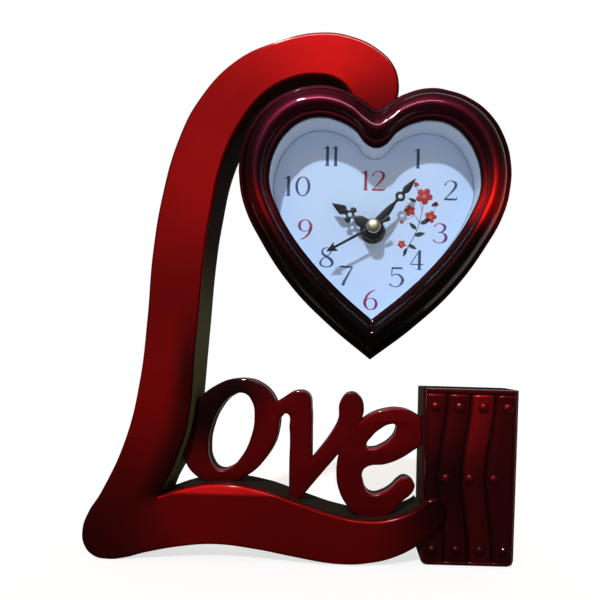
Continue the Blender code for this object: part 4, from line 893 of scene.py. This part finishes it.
def ink_patch(outline, shift, turn=0.0):
    """A filled shape: rings from the middle of its underside out to its outline and back over its top."""
    flat = np.array(on_clock([tuple(p) for p in outline], turn)) + np.array(shift)
    middle = flat.mean(axis=0)
    share = np.array([0.0, 1.0, 0.97, 0.5, 0.0])[:, None, None]
    depth = DIAL_DEPTH + np.array([0.6, 0.6, -1.2, -1.2, -1.2]) * INK_BODY
    return in_space((middle + (flat[None] - middle) * share) * MM + PIVOT, depth[:, None])


def make_ink(name, slot, patches=(), strokes=()):
    """One piece from many grids of points; a stroke is closed by caps on its ends as well."""
    points, faces, start = [], [], 0
    for grid, capped in [(patch, False) for patch in patches] + [(stroke, True) for stroke in strokes]:
        size = grid.shape[:2]
        faces.append(grid_faces(*size) + start)
        if capped:
            faces.append(end_rows(*size) + start)
        start += size[0] * size[1]
        points.append(grid.reshape(-1, 3))
    return dress(make_piece(name, np.concatenate(points), np.concatenate(faces)), slot)


def numeral_strokes(hours):
    """The strokes of a set of hours, each digit at its own place beside the others."""
    return [ink_stroke(points, (x + offset, z), PEN_WEIGHT) for text, (x, z) in hours.items()
            for digit, offset in zip(text, DIGIT_PLACES.get(text, (0.0,))) for points in NUMERALS[digit]]


prints = {}
for ink, hours in HOURS.items():
    slot = "black_paint" if ink == "slate" else "stand_red"
    prints[ink] = make_ink("numerals_" + ink, slot, strokes=numeral_strokes(hours))

# %% [markdown]
# The sprig has five-petalled flowers, lens-shaped leaves and thin stems. A flower's
# outline is a circle whose radius swells five times; a leaf is a sine bow on both sides
# of its midrib.

# %% The sprig
FLOWERS = [
    ((27.0, 19.5), 4.6, 10.0), ((19.6, 11.6), 3.1, 40.0), ((30.6, 8.6), 3.4, 0.0), ((15.6, -6.4), 2.3, 20.0),
]
BUDS = [((22.6, 25.6), 1.5), ((33.6, 15.2), 1.3), ((15.4, 5.4), 1.1)]
LEAVES = [
    ((25.4, 4.6), 6.2, 62.0), ((23.4, 1.6), 5.6, -48.0), ((22.2, -1.6), 6.2, 76.0),
    ((19.2, -6.4), 5.2, 118.0), ((22.8, 16.6), 4.6, -70.0), ((31.0, 14.0), 4.4, 48.0),
    ((18.2, -8.4), 4.8, 196.0),
]
STEMS = [
    [(16.6, -12.6, 0.5), (20.4, -5.6, 0.45), (23.8, 2.0, 0.4), (25.8, 10.0, 0.35), (27.0, 17.0, 0.3)],
    [(25.0, 5.0, 0.35), (22.6, 8.8, 0.3), (20.2, 10.6, 0.25)],
    [(24.8, 5.4, 0.35), (28.0, 7.2, 0.3), (30.2, 8.2, 0.25)],
    [(19.4, -7.6, 0.35), (17.8, -7.0, 0.3), (16.2, -6.6, 0.25)],
    [(26.0, 12.0, 0.3), (24.2, 20.0, 0.25), (22.8, 24.8, 0.2)],
    [(30.0, 9.6, 0.25), (32.4, 12.0, 0.2), (33.4, 14.4, 0.2)],
    [(21.8, 9.0, 0.25), (18.0, 6.8, 0.2), (15.8, 5.6, 0.2)],
]
HEART_SIZE, HEART_RISE = 0.26, 0.8


def flower(radius, petals=5, count=60):
    """A circle whose radius swells once for each petal."""
    turn = whole_turn(count)
    reach = radius * (0.62 + 0.38 * np.abs(np.cos(turn * petals / 2)) ** 0.7)
    return np.stack([reach * np.cos(turn), reach * np.sin(turn)], 1)


def leaf(length, count=20):
    """A sine bow on both sides of the midrib."""
    share = np.linspace(0.0, 1.0, count)
    bow = 0.2 * length * np.sin(math.pi * share ** 0.8)
    return np.concatenate([np.stack([bow, share * length], 1), np.stack([-bow, share * length], 1)[-2:0:-1]])


petals = [ink_patch(flower(size), place, turn) for place, size, turn in FLOWERS]
petals += [ink_patch(flower(size, 3, 36), place) for place, size in BUDS]
prints["petal"] = make_ink("sprig_flowers", "stand_red", petals)
leaves = [ink_patch(leaf(size), place, turn) for place, size, turn in LEAVES]
prints["leaf"] = make_ink("sprig_leaves", "black_paint", leaves, [ink_stroke(points) for points in STEMS])
rise = np.array([0.0, -INK_BODY * HEART_RISE, 0.0])
hearts = [ink_patch(flower(HEART_SIZE * size, 4, 24), place) + rise for place, size, turn in FLOWERS]
prints["heart"] = make_ink("sprig_hearts", "dial_white", hearts)

# %% [markdown]
# ## Shader maths
#
# Finishes are written as formulas. A small class wraps a shader socket, so that a plus
# or times sign between two of them adds the Math node that it stands for.

# %% Sockets that take part in formulas
class Value:
    """A shader socket in formulas; each sign adds one Math node to its graph."""

    def __init__(self, graph, socket):
        self.graph, self.socket = graph, socket

    def __add__(self, other):
        return self.graph.math("ADD", self, other)

    def __sub__(self, other):
        return self.graph.math("SUBTRACT", self, other)

    def __rsub__(self, other):
        return self.graph.math("SUBTRACT", other, self)

    def __mul__(self, other):
        return self.graph.math("MULTIPLY", self, other)

    __rmul__ = __mul__

    def __truediv__(self, other):
        return self.graph.math("DIVIDE", self, other)

    def step(self, low, high):
        """A smooth step: 0 up to low, 1 from high on."""
        values = {"Value": self, "From Min": low, "From Max": high}
        return self.graph.node("ShaderNodeMapRange", {"interpolation_type": "SMOOTHSTEP"}, values)

    def band(self, *steps):
        """1 between a smooth step up over the first two values and one down over the last two."""
        return self.step(*steps[:2]) * (1.0 - self.step(*steps[2:]))


# %% A node tree
class Graph:
    """A node tree to which formulas add their nodes."""

    def __init__(self, tree):
        self.tree = tree

    def put(self, socket, value):
        """Links a formula to a socket, or sets the socket to a constant."""
        if isinstance(value, Value):
            self.tree.links.new(value.socket, socket)
        elif socket.type == "RGBA" and len(value) == 3:
            socket.default_value = (*value, 1.0)
        else:
            socket.default_value = value

    def node(self, kind, settings=None, values=None, output=0):
        """Adds a node, sets it first and then its sockets' values or links, and gives one output."""
        node = self.tree.nodes.new(kind)
        for key, value in (settings or {}).items():
            if key == "stops":
                for _ in value[2:]:
                    node.color_ramp.elements.new(1.0)
                for stop, (place, colour) in zip(node.color_ramp.elements, value):
                    stop.position, stop.color = place, (*colour, 1.0)
            elif key == "between":
                node.color_ramp.interpolation = value
            else:
                setattr(node, key, value)
        for key, value in (values or {}).items():
            self.put(node.inputs[key], value)
        return Value(self, node.outputs[output])

    def math(self, operation, *values):
        """One Math node over its values."""
        return self.node("ShaderNodeMath", {"operation": operation}, dict(enumerate(values)))

    def mix(self, factor, first, second, how="MIX"):
        """Two colours mixed by a factor."""
        settings = {"data_type": "RGBA", "blend_type": how}
        return self.node("ShaderNodeMix", settings, {0: factor, 6: first, 7: second}, output=2)

    def ramp(self, factor, stops):
        """Colours at places from 0 to 1, with smooth passages between them."""
        return self.node("ShaderNodeValToRGB", {"stops": stops, "between": "B_SPLINE"}, {0: factor})

    def coordinates(self, kind):
        """The shaded point in one kind of coordinates."""
        return self.node("ShaderNodeTexCoord", output=kind)

    def part(self, vector, axis):
        """A vector's value along X, Y or Z."""
        return self.node("ShaderNodeSeparateXYZ", {}, {0: vector}, axis)

    def ray(self, kind):
        """1 for rays of a kind, such as Camera or Glossy, and 0 for all others."""
        return self.node("ShaderNodeLightPath", output=f"Is {kind} Ray")


# %% A finish
class Finish(Graph):
    """A Principled material; its constants go straight onto the shader's sockets."""

    def __init__(self, name, **constants):
        self.material = bpy.data.materials.new(name)
        self.material.use_nodes = True
        super().__init__(self.material.node_tree)
        self.shader = self.tree.nodes["Principled BSDF"]
        self.set(**constants)
        self.place = self.coordinates("Object")
        self.x, self.y, self.z = (self.part(self.place, axis) for axis in "XYZ")

    def set(self, **inputs):
        """Sets or links the shader's sockets and gives the material."""
        for label, value in inputs.items():
            self.put(self.shader.inputs[label.replace("_", " ")], value)
        return self.material

    def own(self, label):
        """The piece's own attribute of this name."""
        return self.node("ShaderNodeAttribute", {"attribute_name": label}, output="Fac")

    def noise(self, scale, detail=2.0):
        """Noise about one half, with so many features to the metre."""
        return self.node("ShaderNodeTexNoise", {}, {"Vector": self.place, "Scale": scale, "Detail": detail})

    def bump(self, height, strength, distance):
        """Tilts the normal as a relief of this height would, and gives the material."""
        values = {"Height": height, "Strength": strength, "Distance": distance}
        return self.set(Normal=self.node("ShaderNodeBump", {}, values))


def paint(piece, material):
    """Gives a piece, new or packed, one material."""
    piece.data.materials.clear()
    piece.data.materials.append(material)


# %% [markdown]
# ## The lacquer
#
# The clock's red is a candy lacquer: a metallic red under a thick clear coat. Its base
# is bright where it mirrors the light and nearly black where it doesn't, which gives
# the long fade from the curl down to the foot. So it is a rough metal in deep red with
# a smooth coat over it. The lamps make a part of the fade, and the run of tones that
# comes below paints in the rest as highlight and shade.
#
# Such mouldings are sprayed from the front. Their walls get only a thin, dull mist that
# fades towards the back, where the bare black plastic shows. So a mask from the depth
# takes the metal and the coat off there, and a second one fades the mist. Faces that
# look straight back keep the gloss of the mould.

# %% The lacquer
OVERSPRAY, BARE_WALL, WALL_PAINTED_REFLECTION = (0.034, 0.005, 0.005), (0.014, 0.015, 0.011), (0.060, 0.066, 0.034)
COOL_CLOUD = (0.62, 0.62, 0.70)
MASK_EDGE, MIST_FADE = 0.5 * MM, 11.0 * MM
print("length of the mist's fade in mm:", round(MIST_FADE / MM, 1))


def tint(colour, factor, lift=0.0):
    """A colour times a factor, lifted a little, no brighter than white."""
    return tuple(min(1.0, c * factor + lift) for c in colour)


def clouds(finish):
    """Large soft patches where the spray overlapped."""
    return finish.noise(26.0, 3.0).step(0.35, 0.7) * 0.3


def lacquer(name, red, tone, wall_from, roughness=0.5, edge=None, pale=None, own_depth=False):
    """Metal in a run of tones, partly painted light, with clouds and flakes; dull behind a depth, coat thin
    on edges.
    """
    finish = Finish(name, Coat_Roughness=0.035, Coat_IOR=1.45, Specular_IOR_Level=0.0)
    depth = finish.own("depth") if own_depth else finish.y - FRONT
    wall = depth.step(wall_from, wall_from + MASK_EDGE)
    base = tone(finish)
    clouded = finish.mix(clouds(finish), base, finish.mix(1.0, base, COOL_CLOUD, "MULTIPLY"))
    flakes = finish.noise(3500.0, 1.0).step(0.62, 0.72) * 0.12
    front = finish.mix(flakes, clouded, tint(red, 1.5, 0.004))
    patches = finish.noise(160.0, 4.0)
    bare = depth.step(wall_from, wall_from + MIST_FADE) * 0.8 + patches.step(0.3, 0.8) * 0.2
    mist = finish.mix(bare, OVERSPRAY, BARE_WALL)
    # A painted reflection: where pale is given, the wall turns a paler olive.
    if pale:
        mist = finish.mix(pale(finish) * (patches * 0.4 + 0.8), mist, WALL_PAINTED_REFLECTION)
    rear = finish.part(finish.coordinates("Normal"), "Y").step(0.5, 0.9)
    coat = (1.0 - wall * 0.96) * (1.0 - edge(finish) if edge else 1.0)
    finish.set(Base_Color=finish.mix(wall, front, mist), Metallic=0.92 * (1.0 - wall),
               Coat_Weight=coat + rear * 0.6,
               Roughness=finish.noise(180.0) * 0.06 + (roughness - 0.03) + wall * 0.2)
    return finish.bump(finish.noise(260.0) + finish.noise(60.0, 1.0) * 2.0, 0.06, 0.0002)


# %% [markdown]
# A candy coat is never quite even, and each moulding has its own run of tones. It is a
# ramp along the ribbon for the stand, round the heart for the bezel, and a share that
# comes with the mesh for each plank of the panel. A large part of each run is painted
# highlight, painted reflection and painted shade in the base colour. The stops are set
# one by one, with single spots of photograph and render read side by side.

# %% Runs of tones, with painted highlight, reflection and shade
STAND_TONES_WITH_PAINTED_LIGHT = [
    (0.0, 0.05), (0.045, 0.25), (0.10, 0.27), (0.165, 0.12), (0.24, 0.17), (0.33, 0.28), (0.40, 0.15),
    (0.46, 0.30), (0.52, 0.38), (0.57, 0.22), (0.645, 0.09), (0.70, 0.38), (0.80, 0.19), (0.90, 0.32),
    (0.94, 0.12), (0.97, 0.03), (1.0, 0.01),
]
BEZEL_TONES_WITH_PAINTED_LIGHT = [
    (0.0, (0.035, 0.003, 0.006)), (2.5, (0.10, 0.005, 0.014)), (4.5, (0.10, 0.006, 0.020)),
    (6.0, (0.05, 0.004, 0.008)), (7.6, (0.05, 0.003, 0.006)), (8.3, (0.30, 0.006, 0.006)),
    (9.0, (0.48, 0.007, 0.005)), (9.6, (0.85, 0.009, 0.006)), (10.1, (0.60, 0.006, 0.005)),
    (10.6, (0.04, 0.002, 0.003)), (11.2, (0.008, 0.002, 0.002)), (14.0, (0.006, 0.002, 0.002)),
    (16.4, (0.008, 0.002, 0.002)), (17.3, (0.05, 0.002, 0.003)), (18.1, (0.24, 0.003, 0.004)),
    (19.2, (0.025, 0.003, 0.006)), (21.0, (0.04, 0.004, 0.010)), (24.0, (0.11, 0.005, 0.020)),
    (26.0, (0.08, 0.004, 0.012)), (28.0, (0.035, 0.003, 0.006)),
]
PAINTED_SHADE_RED = (0.012, 0.002, 0.003)
LETTER_SHADE = (-50 * MM, 88 * MM)
print("tones along the stand:", len(STAND_TONES_WITH_PAINTED_LIGHT), "round the bezel:", len(BEZEL_TONES_WITH_PAINTED_LIGHT))


def stand_tone_with_painted_light(finish):
    """The ramp along the ribbon, largely painted light, and painted shade by the lower stem's inner edge and
    the toe.
    """
    along, across = finish.own("along"), finish.own("across")
    stops = [(place, (r, 0.010 * r + 0.0005, 0.009 * r + 0.0007)) for place, r in STAND_TONES_WITH_PAINTED_LIGHT]
    # Painted shade at the toe, on its outer side.
    toe = along.band(0.60, 0.65, 0.66, 0.72) * (1.0 - across) * 0.7
    red = finish.mix(toe, finish.ramp(along, stops), (0.02, 0.001, 0.004))
    # Painted shade along the inner edge of the lower stem.
    inner = across.step(0.45, 0.95) * along.band(0.40, 0.48, 0.60, 0.645)
    return finish.mix(inner * 0.85, red, (0.012, 0.001, 0.001))


def bezel_tone_with_painted_light(finish):
    """The ramp round the heart by its knots' numbers, with painted highlights, and painted shade on the
    steps.
    """
    stops = [(number / outer_heart.count, colour) for number, colour in BEZEL_TONES_WITH_PAINTED_LIGHT]
    # Painted shade on the steps outside the crown, in a deep red.
    crown = finish.own("inset").band(0.08, 0.2, 0.78, 0.92)
    return finish.mix(crown * 0.8 + 0.2, PAINTED_SHADE_RED, finish.ramp(finish.own("around"), stops))


def letter_tone_with_painted_shade(finish):
    """Even red, with painted shade by the stem that fades with the distance, and painted shade towards the
    tops.
    """
    right, up = finish.x - LETTER_SHADE[0], finish.z - LETTER_SHADE[1]
    away = finish.math("SQRT", right * right + up * up * 0.6).step(13 * MM, 35 * MM)
    # Painted shade towards the tops of the letters.
    tops = finish.z.step(76 * MM, 92 * MM) * 0.6
    return finish.mix(away * (1.0 - tops), (0.015, 0.002, 0.003), (0.19, 0.002, 0.004))


def cup_tone(finish):
    """Cherry red, deeper in the clouds."""
    return finish.mix(clouds(finish), (0.05, 0.003, 0.004), (0.02, 0.002, 0.003))


def panel_tone_with_painted_light(finish):
    """From a painted-shade red to a painted-highlight red, by the tone that comes with the mesh."""
    return finish.mix(finish.own("tone"), PAINTED_SHADE_RED, (0.36, 0.006, 0.007))


def rivet_tone_with_painted_light(finish):
    """Painted light by the height: brighter at the top, painted shade towards the foot."""
    return finish.mix(finish.z.step(0.0, CUP_HEIGHT), (0.045, 0.002, 0.003), (0.15, 0.004, 0.006))


# %% Thin coat, a painted reflection on the stem's wall, and six pieces in lacquer
def stem_wall_painted_reflection(finish):
    """A painted reflection, pale olive, on the lower stem's inner wall, by the share along the ribbon."""
    return finish.own("along").band(0.34, 0.44, 0.58, 0.61) * finish.own("across")


def stand_edge(finish):
    """Lacquer draws away from an edge: most of the coat is gone where the section turns."""
    across = finish.own("across")
    return (1.0 - across.step(0.0, 0.02) + across.step(0.98, 1.0)) * 0.7


def bezel_edge(finish):
    """The coat thins towards the outer flank, by the inset."""
    return (1.0 - finish.own("inset").step(0.12, 0.34)) * 0.93


BEHIND_PANEL = CUP_FACE + PANEL_THICKNESS
paint(stand, lacquer("candy_red_lacquer", (0.26, 0.006, 0.006), stand_tone_with_painted_light, 0.6 * STAND_EDGE,
                     edge=stand_edge, pale=stem_wall_painted_reflection, own_depth=True))
paint(letters, lacquer("letter_lacquer", (0.19, 0.002, 0.004), letter_tone_with_painted_shade, LETTER_SETBACK + LETTER_EDGE))
paint(bezel, lacquer("bezel_lacquer", (0.055, 0.004, 0.008), bezel_tone_with_painted_light, -2.7 * MM, 0.42, bezel_edge))
paint(cup, lacquer("cup_lacquer", (0.05, 0.003, 0.004), cup_tone, BEHIND_PANEL))
paint(panel, lacquer("panel_lacquer", (0.07, 0.004, 0.005), panel_tone_with_painted_light, BEHIND_PANEL))
paint(rivets, lacquer("rivet_lacquer", (0.15, 0.004, 0.006), rivet_tone_with_painted_light, BEHIND_PANEL))
print("lacquered:", [piece.name for piece in (stand, letters, bezel, cup, panel, rivets)])

# %% [markdown]
# ## Plastics, paper and metals
#
# The rest is what a cheap quartz clock has: matt moulded plastic behind, printed card,
# stamped steel, turned brass and painted hands. Each has its own small irregularity.

# %% Kinds of finish
def moulded(name, colour, roughness=0.4, grain=900.0, depth=0.00004):
    """Moulded plastic: one colour with faint clouds, and a fine spark-eroded grain."""
    finish = Finish(name)
    finish.set(Base_Color=finish.mix(finish.noise(40.0), tint(colour, 0.88), tint(colour, 1.15, 0.004)),
               Roughness=finish.noise(120.0) * 0.12 + (roughness - 0.06))
    return finish.bump(finish.noise(grain), 0.25, depth)


def metal(name, colour, roughness=0.3):
    """Bare metal with a fine unevenness in its tone, gloss and relief."""
    finish = Finish(name, Metallic=1.0)
    wear = finish.noise(300.0, 3.0)
    finish.set(Base_Color=finish.mix(wear, tint(colour, 0.8), colour),
               Roughness=wear * 0.18 + (roughness - 0.09))
    return finish.bump(finish.noise(1400.0), 0.2, 0.00002)


def paper(name, colour):
    """Coated card: a very faint fibre in colour and relief."""
    finish = Finish(name)
    fibre = finish.noise(1800.0, 3.0)
    finish.set(Base_Color=finish.mix(fibre * 0.35, colour, tint(colour, 0.94)), Roughness=fibre * 0.1 + 0.42)
    return finish.bump(fibre, 0.08, 0.00003)


def printed(name, colour, second):
    """Offset ink: it blends into a second ink here and there, and the card shows through in specks."""
    finish = Finish(name)
    cover = finish.noise(1500.0).step(0.3, 0.75) * 0.16 + finish.noise(120.0) * 0.12
    inks = finish.mix(finish.noise(190.0, 1.0).step(0.42, 0.62), colour, second)
    finish.set(Base_Color=finish.mix(cover, inks, tint(colour, 1.6, 0.03)), Roughness=cover + 0.34)
    return finish.bump(finish.noise(1500.0), 0.1, 0.00001)


def clear_plastic(name):
    """A lens: mostly see-through, clearest when seen straight on, with gloss and faint smears."""
    finish = Finish(name, IOR=1.49, Coat_Roughness=0.02)
    streaks = finish.noise(90.0, 3.0)
    edge = finish.node("ShaderNodeLayerWeight", {}, {"Blend": 0.12}, "Facing")
    return finish.set(Base_Color=finish.mix(streaks, (0.05, 0.06, 0.07), (0.10, 0.11, 0.12)),
                      Roughness=streaks * 0.02 + 0.02,
                      Alpha=streaks.step(0.55, 0.8) * 0.01 + edge * 0.3 + 0.03)


def battery_sleeve(name):
    """A shrunk sleeve round a cell: blue, a silver band at one end, and bare steel at both caps."""
    finish = Finish(name)
    low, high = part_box("battery")
    along = (finish.x - low.x) / (high.x - low.x)
    caps = 1.0 - along.band(0.012, 0.018, 0.955, 0.962)
    band = along.step(0.70, 0.705) + caps
    blue = finish.mix(finish.noise(900.0, 1.0) * 0.2, (0.02, 0.06, 0.20), (0.10, 0.18, 0.34))
    silver = finish.mix(finish.noise(500.0), (0.44, 0.44, 0.45), (0.62, 0.62, 0.63))
    finish.set(Base_Color=finish.mix(finish.math("MINIMUM", band, 1.0), blue, silver),
               Metallic=finish.math("MINIMUM", band * 0.9, 0.9), Roughness=finish.noise(60.0) * 0.1 + 0.26)
    return finish.bump(finish.noise(70.0), 0.15, 0.0001)


# %% The clock's own finishes
black_plastic = moulded("black_plastic", (0.018, 0.018, 0.020), 0.42)
white_plastic = moulded("white_plastic", (0.78, 0.77, 0.72))
steel = metal("zinc_plated_steel", (0.60, 0.61, 0.63))
hand_paint = moulded("black_hand_paint", (0.008, 0.010, 0.014), 0.3, 500.0, 0.00002)
INKS = {
    "brick": ((0.30, 0.014, 0.010), (0.22, 0.012, 0.016)),
    "crimson": ((0.32, 0.008, 0.075), (0.09, 0.010, 0.13)),
    "slate": ((0.014, 0.040, 0.115), (0.030, 0.078, 0.215)),
    "petal": ((0.40, 0.008, 0.014), (0.30, 0.006, 0.012)),
    "leaf": ((0.006, 0.016, 0.018), (0.014, 0.030, 0.040)),
    "heart": ((0.55, 0.16, 0.05), (0.50, 0.10, 0.04)),
}
for ink, colours in INKS.items():
    paint(prints[ink], printed(ink + "_ink", *colours))
for piece in hands:
    paint(piece, hand_paint)
paint(dome_cap, metal("pale_brass", (0.88, 0.76, 0.50), 0.42))
paint(pan, moulded("pale_grey_plastic", (0.60, 0.72, 0.86), 0.38))
paint(card, paper("dial_card", (0.50, 0.68, 0.98)))

SCREWS = [f"{seat}_screw_{i + 1}" for seat, count in (("cover", 6), ("case", 4)) for i in range(count)]
CAD_FINISHES = {
    "clock_lens": clear_plastic("lens_plastic"), "battery": battery_sleeve("battery_wrap"),
    "movement_cover": moulded("dark_grey_plastic", (0.03, 0.03, 0.033), 0.45),
    "dial_nut": metal("turned_brass", (0.80, 0.58, 0.25), 0.25),
    **dict.fromkeys(("stand_back_cover", "clock_case_back", "movement_case"), black_plastic),
    **dict.fromkeys(("setting_knob", "hour_wheel", "centre_wheel"), white_plastic),
    **dict.fromkeys(("second_wheel", "dial_washer", "contact_negative", "contact_positive", *SCREWS), steel),
}
for name, material in CAD_FINISHES.items():
    paint(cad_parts[name], material)
print("finishes:", len(bpy.data.materials), "solids finished:", len(CAD_FINISHES))

# %% [markdown]
# ## The works, with softened edges
#
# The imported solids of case, cover and movement have the right shapes but knife edges,
# and no moulded or turned part has those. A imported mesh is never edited, so each gets a
# copy: its triangles are merged back into faces, every sharp edge gets a small bevel
# with the Bevel modifier, and what was a curve is shaded as one. Weighted normals let
# the large faces stay flat, so that only the bevels bend the light.

# %% Softened copies
FLAT_ENOUGH, SHARP, LARGE_FACES = math.radians(1.0), math.radians(32.0), 80


def soften(name, width, slot, body=BODY):
    """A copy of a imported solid, merged, its sharp edges bevelled by so many mm, in the solid's place."""
    piece = add_object(name + "_soft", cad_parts[name].data.copy())
    with edit_mesh(piece.data) as bm:
        bmesh.ops.remove_doubles(bm, verts=bm.verts, dist=MERGE)
        bmesh.ops.dissolve_limit(bm, angle_limit=FLAT_ENOUGH, verts=bm.verts, edges=bm.edges)
    piece.data.shade_smooth()
    bevel = piece.modifiers.new("edges", "BEVEL")
    bevel.width, bevel.segments, bevel.limit_method, bevel.angle_limit = width * MM, 2, "ANGLE", SHARP
    flat = piece.modifiers.new("flat faces", "WEIGHTED_NORMAL")
    flat.weight, flat.keep_sharp = LARGE_FACES, True
    mesh = evaluated(piece)
    piece.modifiers.clear()
    piece.data = mesh
    paint(piece, CAD_FINISHES[name])
    dress(piece, slot, name, body=body)


soften("clock_case_back", 0.5, "black_plastic")
soften("stand_back_cover", 0.3, "black_plastic")
soften("movement_case", 0.3, "black_plastic")
soften("movement_cover", 0.25, "black_plastic")
soften("battery", 0.25, "battery_wrap")
soften("setting_knob", 0.2, "white_plastic", "setting_arbor")
soften("dial_nut", 0.12, "brass")
for screw in SCREWS:
    soften(screw, 0.1, "steel")

# %% [markdown]
# ## Light, floor and camera
#
# One soft key lamp stands high in front, so that the bezel throws its shadow on the
# dial. A strip lamp near it draws long streaks on the gloss. The world fills in. To the
# camera the world is white, as in the photograph, and mirrors that look backwards see
# that white too, while those that look to the front see a dark room, which is what keeps
# the lacquer deep. For the same reason a photographer lays a black card on the table in
# front of such a glossy piece: here the floor in front is dark to gloss alone.

# %% Floor and world
FLOOR_REACH, CARD_FADE = 3.0, 0.02
FILL, DARK_ROOM, FILL_TINT, KEY_TINT = 0.50, 0.04, (1.19, 0.93, 0.74), (0.90, 0.99, 1.05)


def make_floor():
    """A wide pale floor, nearly white to the camera, with a soft shadow; its front is dark to gloss."""
    mesh = bpy.data.meshes.new("floor")
    mesh.from_pydata([(x * FLOOR_REACH, y * FLOOR_REACH, 0) for x, y in ((-1, -1), (1, -1), (1, 1), (-1, 1))],
                     [], [(0, 1, 2, 3)])
    floor = add_object("floor", mesh)
    finish = Finish("floor_paint", Roughness=0.9, Specular_IOR_Level=0.0, Emission_Color=(1.0, 1.0, 1.0))
    seen = finish.ray("Camera")
    card = finish.ray("Glossy") * (1.0 - finish.y.step(FRONT, FRONT + CARD_FADE))
    plain = finish.mix(card, (0.72, 0.72, 0.72), (0.03, 0.03, 0.03))
    finish.set(Base_Color=finish.mix(seen, plain, (0.34, 0.34, 0.34)), Emission_Strength=seen * 0.7)
    paint(floor, finish.material)


def make_world():
    """White to the camera and to gloss that looks backwards, dim to gloss that looks forwards; warm fill."""
    world = bpy.data.worlds.new("studio")
    world.use_nodes = True
    scene.world = world
    graph = Graph(world.node_tree)
    backwards = graph.part(graph.coordinates("Generated"), "Y").step(0.25, 0.75)
    gloss = backwards * (1.0 - DARK_ROOM) + DARK_ROOM
    light = graph.ray("Glossy") * (gloss - FILL) + FILL
    plain = graph.math("MAXIMUM", graph.ray("Camera"), graph.ray("Transmission"))
    sockets = graph.tree.nodes["Background"].inputs
    graph.put(sockets["Color"], graph.mix(graph.ray("Diffuse"), (1.0, 1.0, 1.0), FILL_TINT))
    graph.put(sockets["Strength"], plain + (1.0 - plain) * light)


make_floor()
make_world()
print("fill light:", FILL, "for gloss that looks forwards:", DARK_ROOM)

# %% Lamps and camera
PICTURE = 600
CAMERA_RIGHT, CAMERA_AWAY, CAMERA_UP, CAMERA_ROLL = 0.0231, 0.290, 0.1052, -1.6


def make_sun(energy, towards, spread):
    """A distant lamp that shines from a direction given as (right, front, up)."""
    lamp = bpy.data.lights.new("key", "SUN")
    lamp.energy, lamp.angle, lamp.color = energy, math.radians(spread), KEY_TINT
    right, front, up = towards
    level = math.hypot(right, front)
    add_object("key", lamp).rotation_euler = (math.atan2(level, up), 0.0, math.atan2(right, front))


def make_strip(energy, place, size):
    """A long lamp that aims at the heart: a streak on gloss, hidden from camera and dull surfaces."""
    lamp = bpy.data.lights.new("streak", "AREA")
    lamp.shape, lamp.size, lamp.size_y, lamp.energy = "RECTANGLE", *size, energy
    holder = add_object("streak", lamp)
    holder.location = Vector((PIVOT[0], FRONT, PIVOT[1])) + Vector(place)
    holder.rotation_euler = Vector(place).to_track_quat("Z", "Y").to_euler()
    holder.visible_diffuse = holder.visible_camera = False


def make_camera():
    """The photograph's view: close in front, 105 mm up, rolled by 1.6 degrees."""
    lens = bpy.data.cameras.new("camera")
    lens.sensor_width, lens.lens, lens.clip_start = 36.0, 34.116, 0.01
    lens.shift_x, lens.shift_y = -50 / PICTURE, 60 / PICTURE
    scene.camera = add_object("camera", lens)
    scene.camera.location = (CAMERA_RIGHT, FRONT - CAMERA_AWAY, CAMERA_UP)
    scene.camera.rotation_euler = (math.pi / 2, math.radians(CAMERA_ROLL), 0.0)


make_sun(2.5, (-0.22, 1.0, 0.88), 3.0)
make_strip(1.2, (0.02, -0.78, 0.62), (0.34, 0.10))
make_camera()
scene.view_settings.view_transform = "Standard"
print("lamps:", len(bpy.data.lights), "camera:", scene.camera.name)
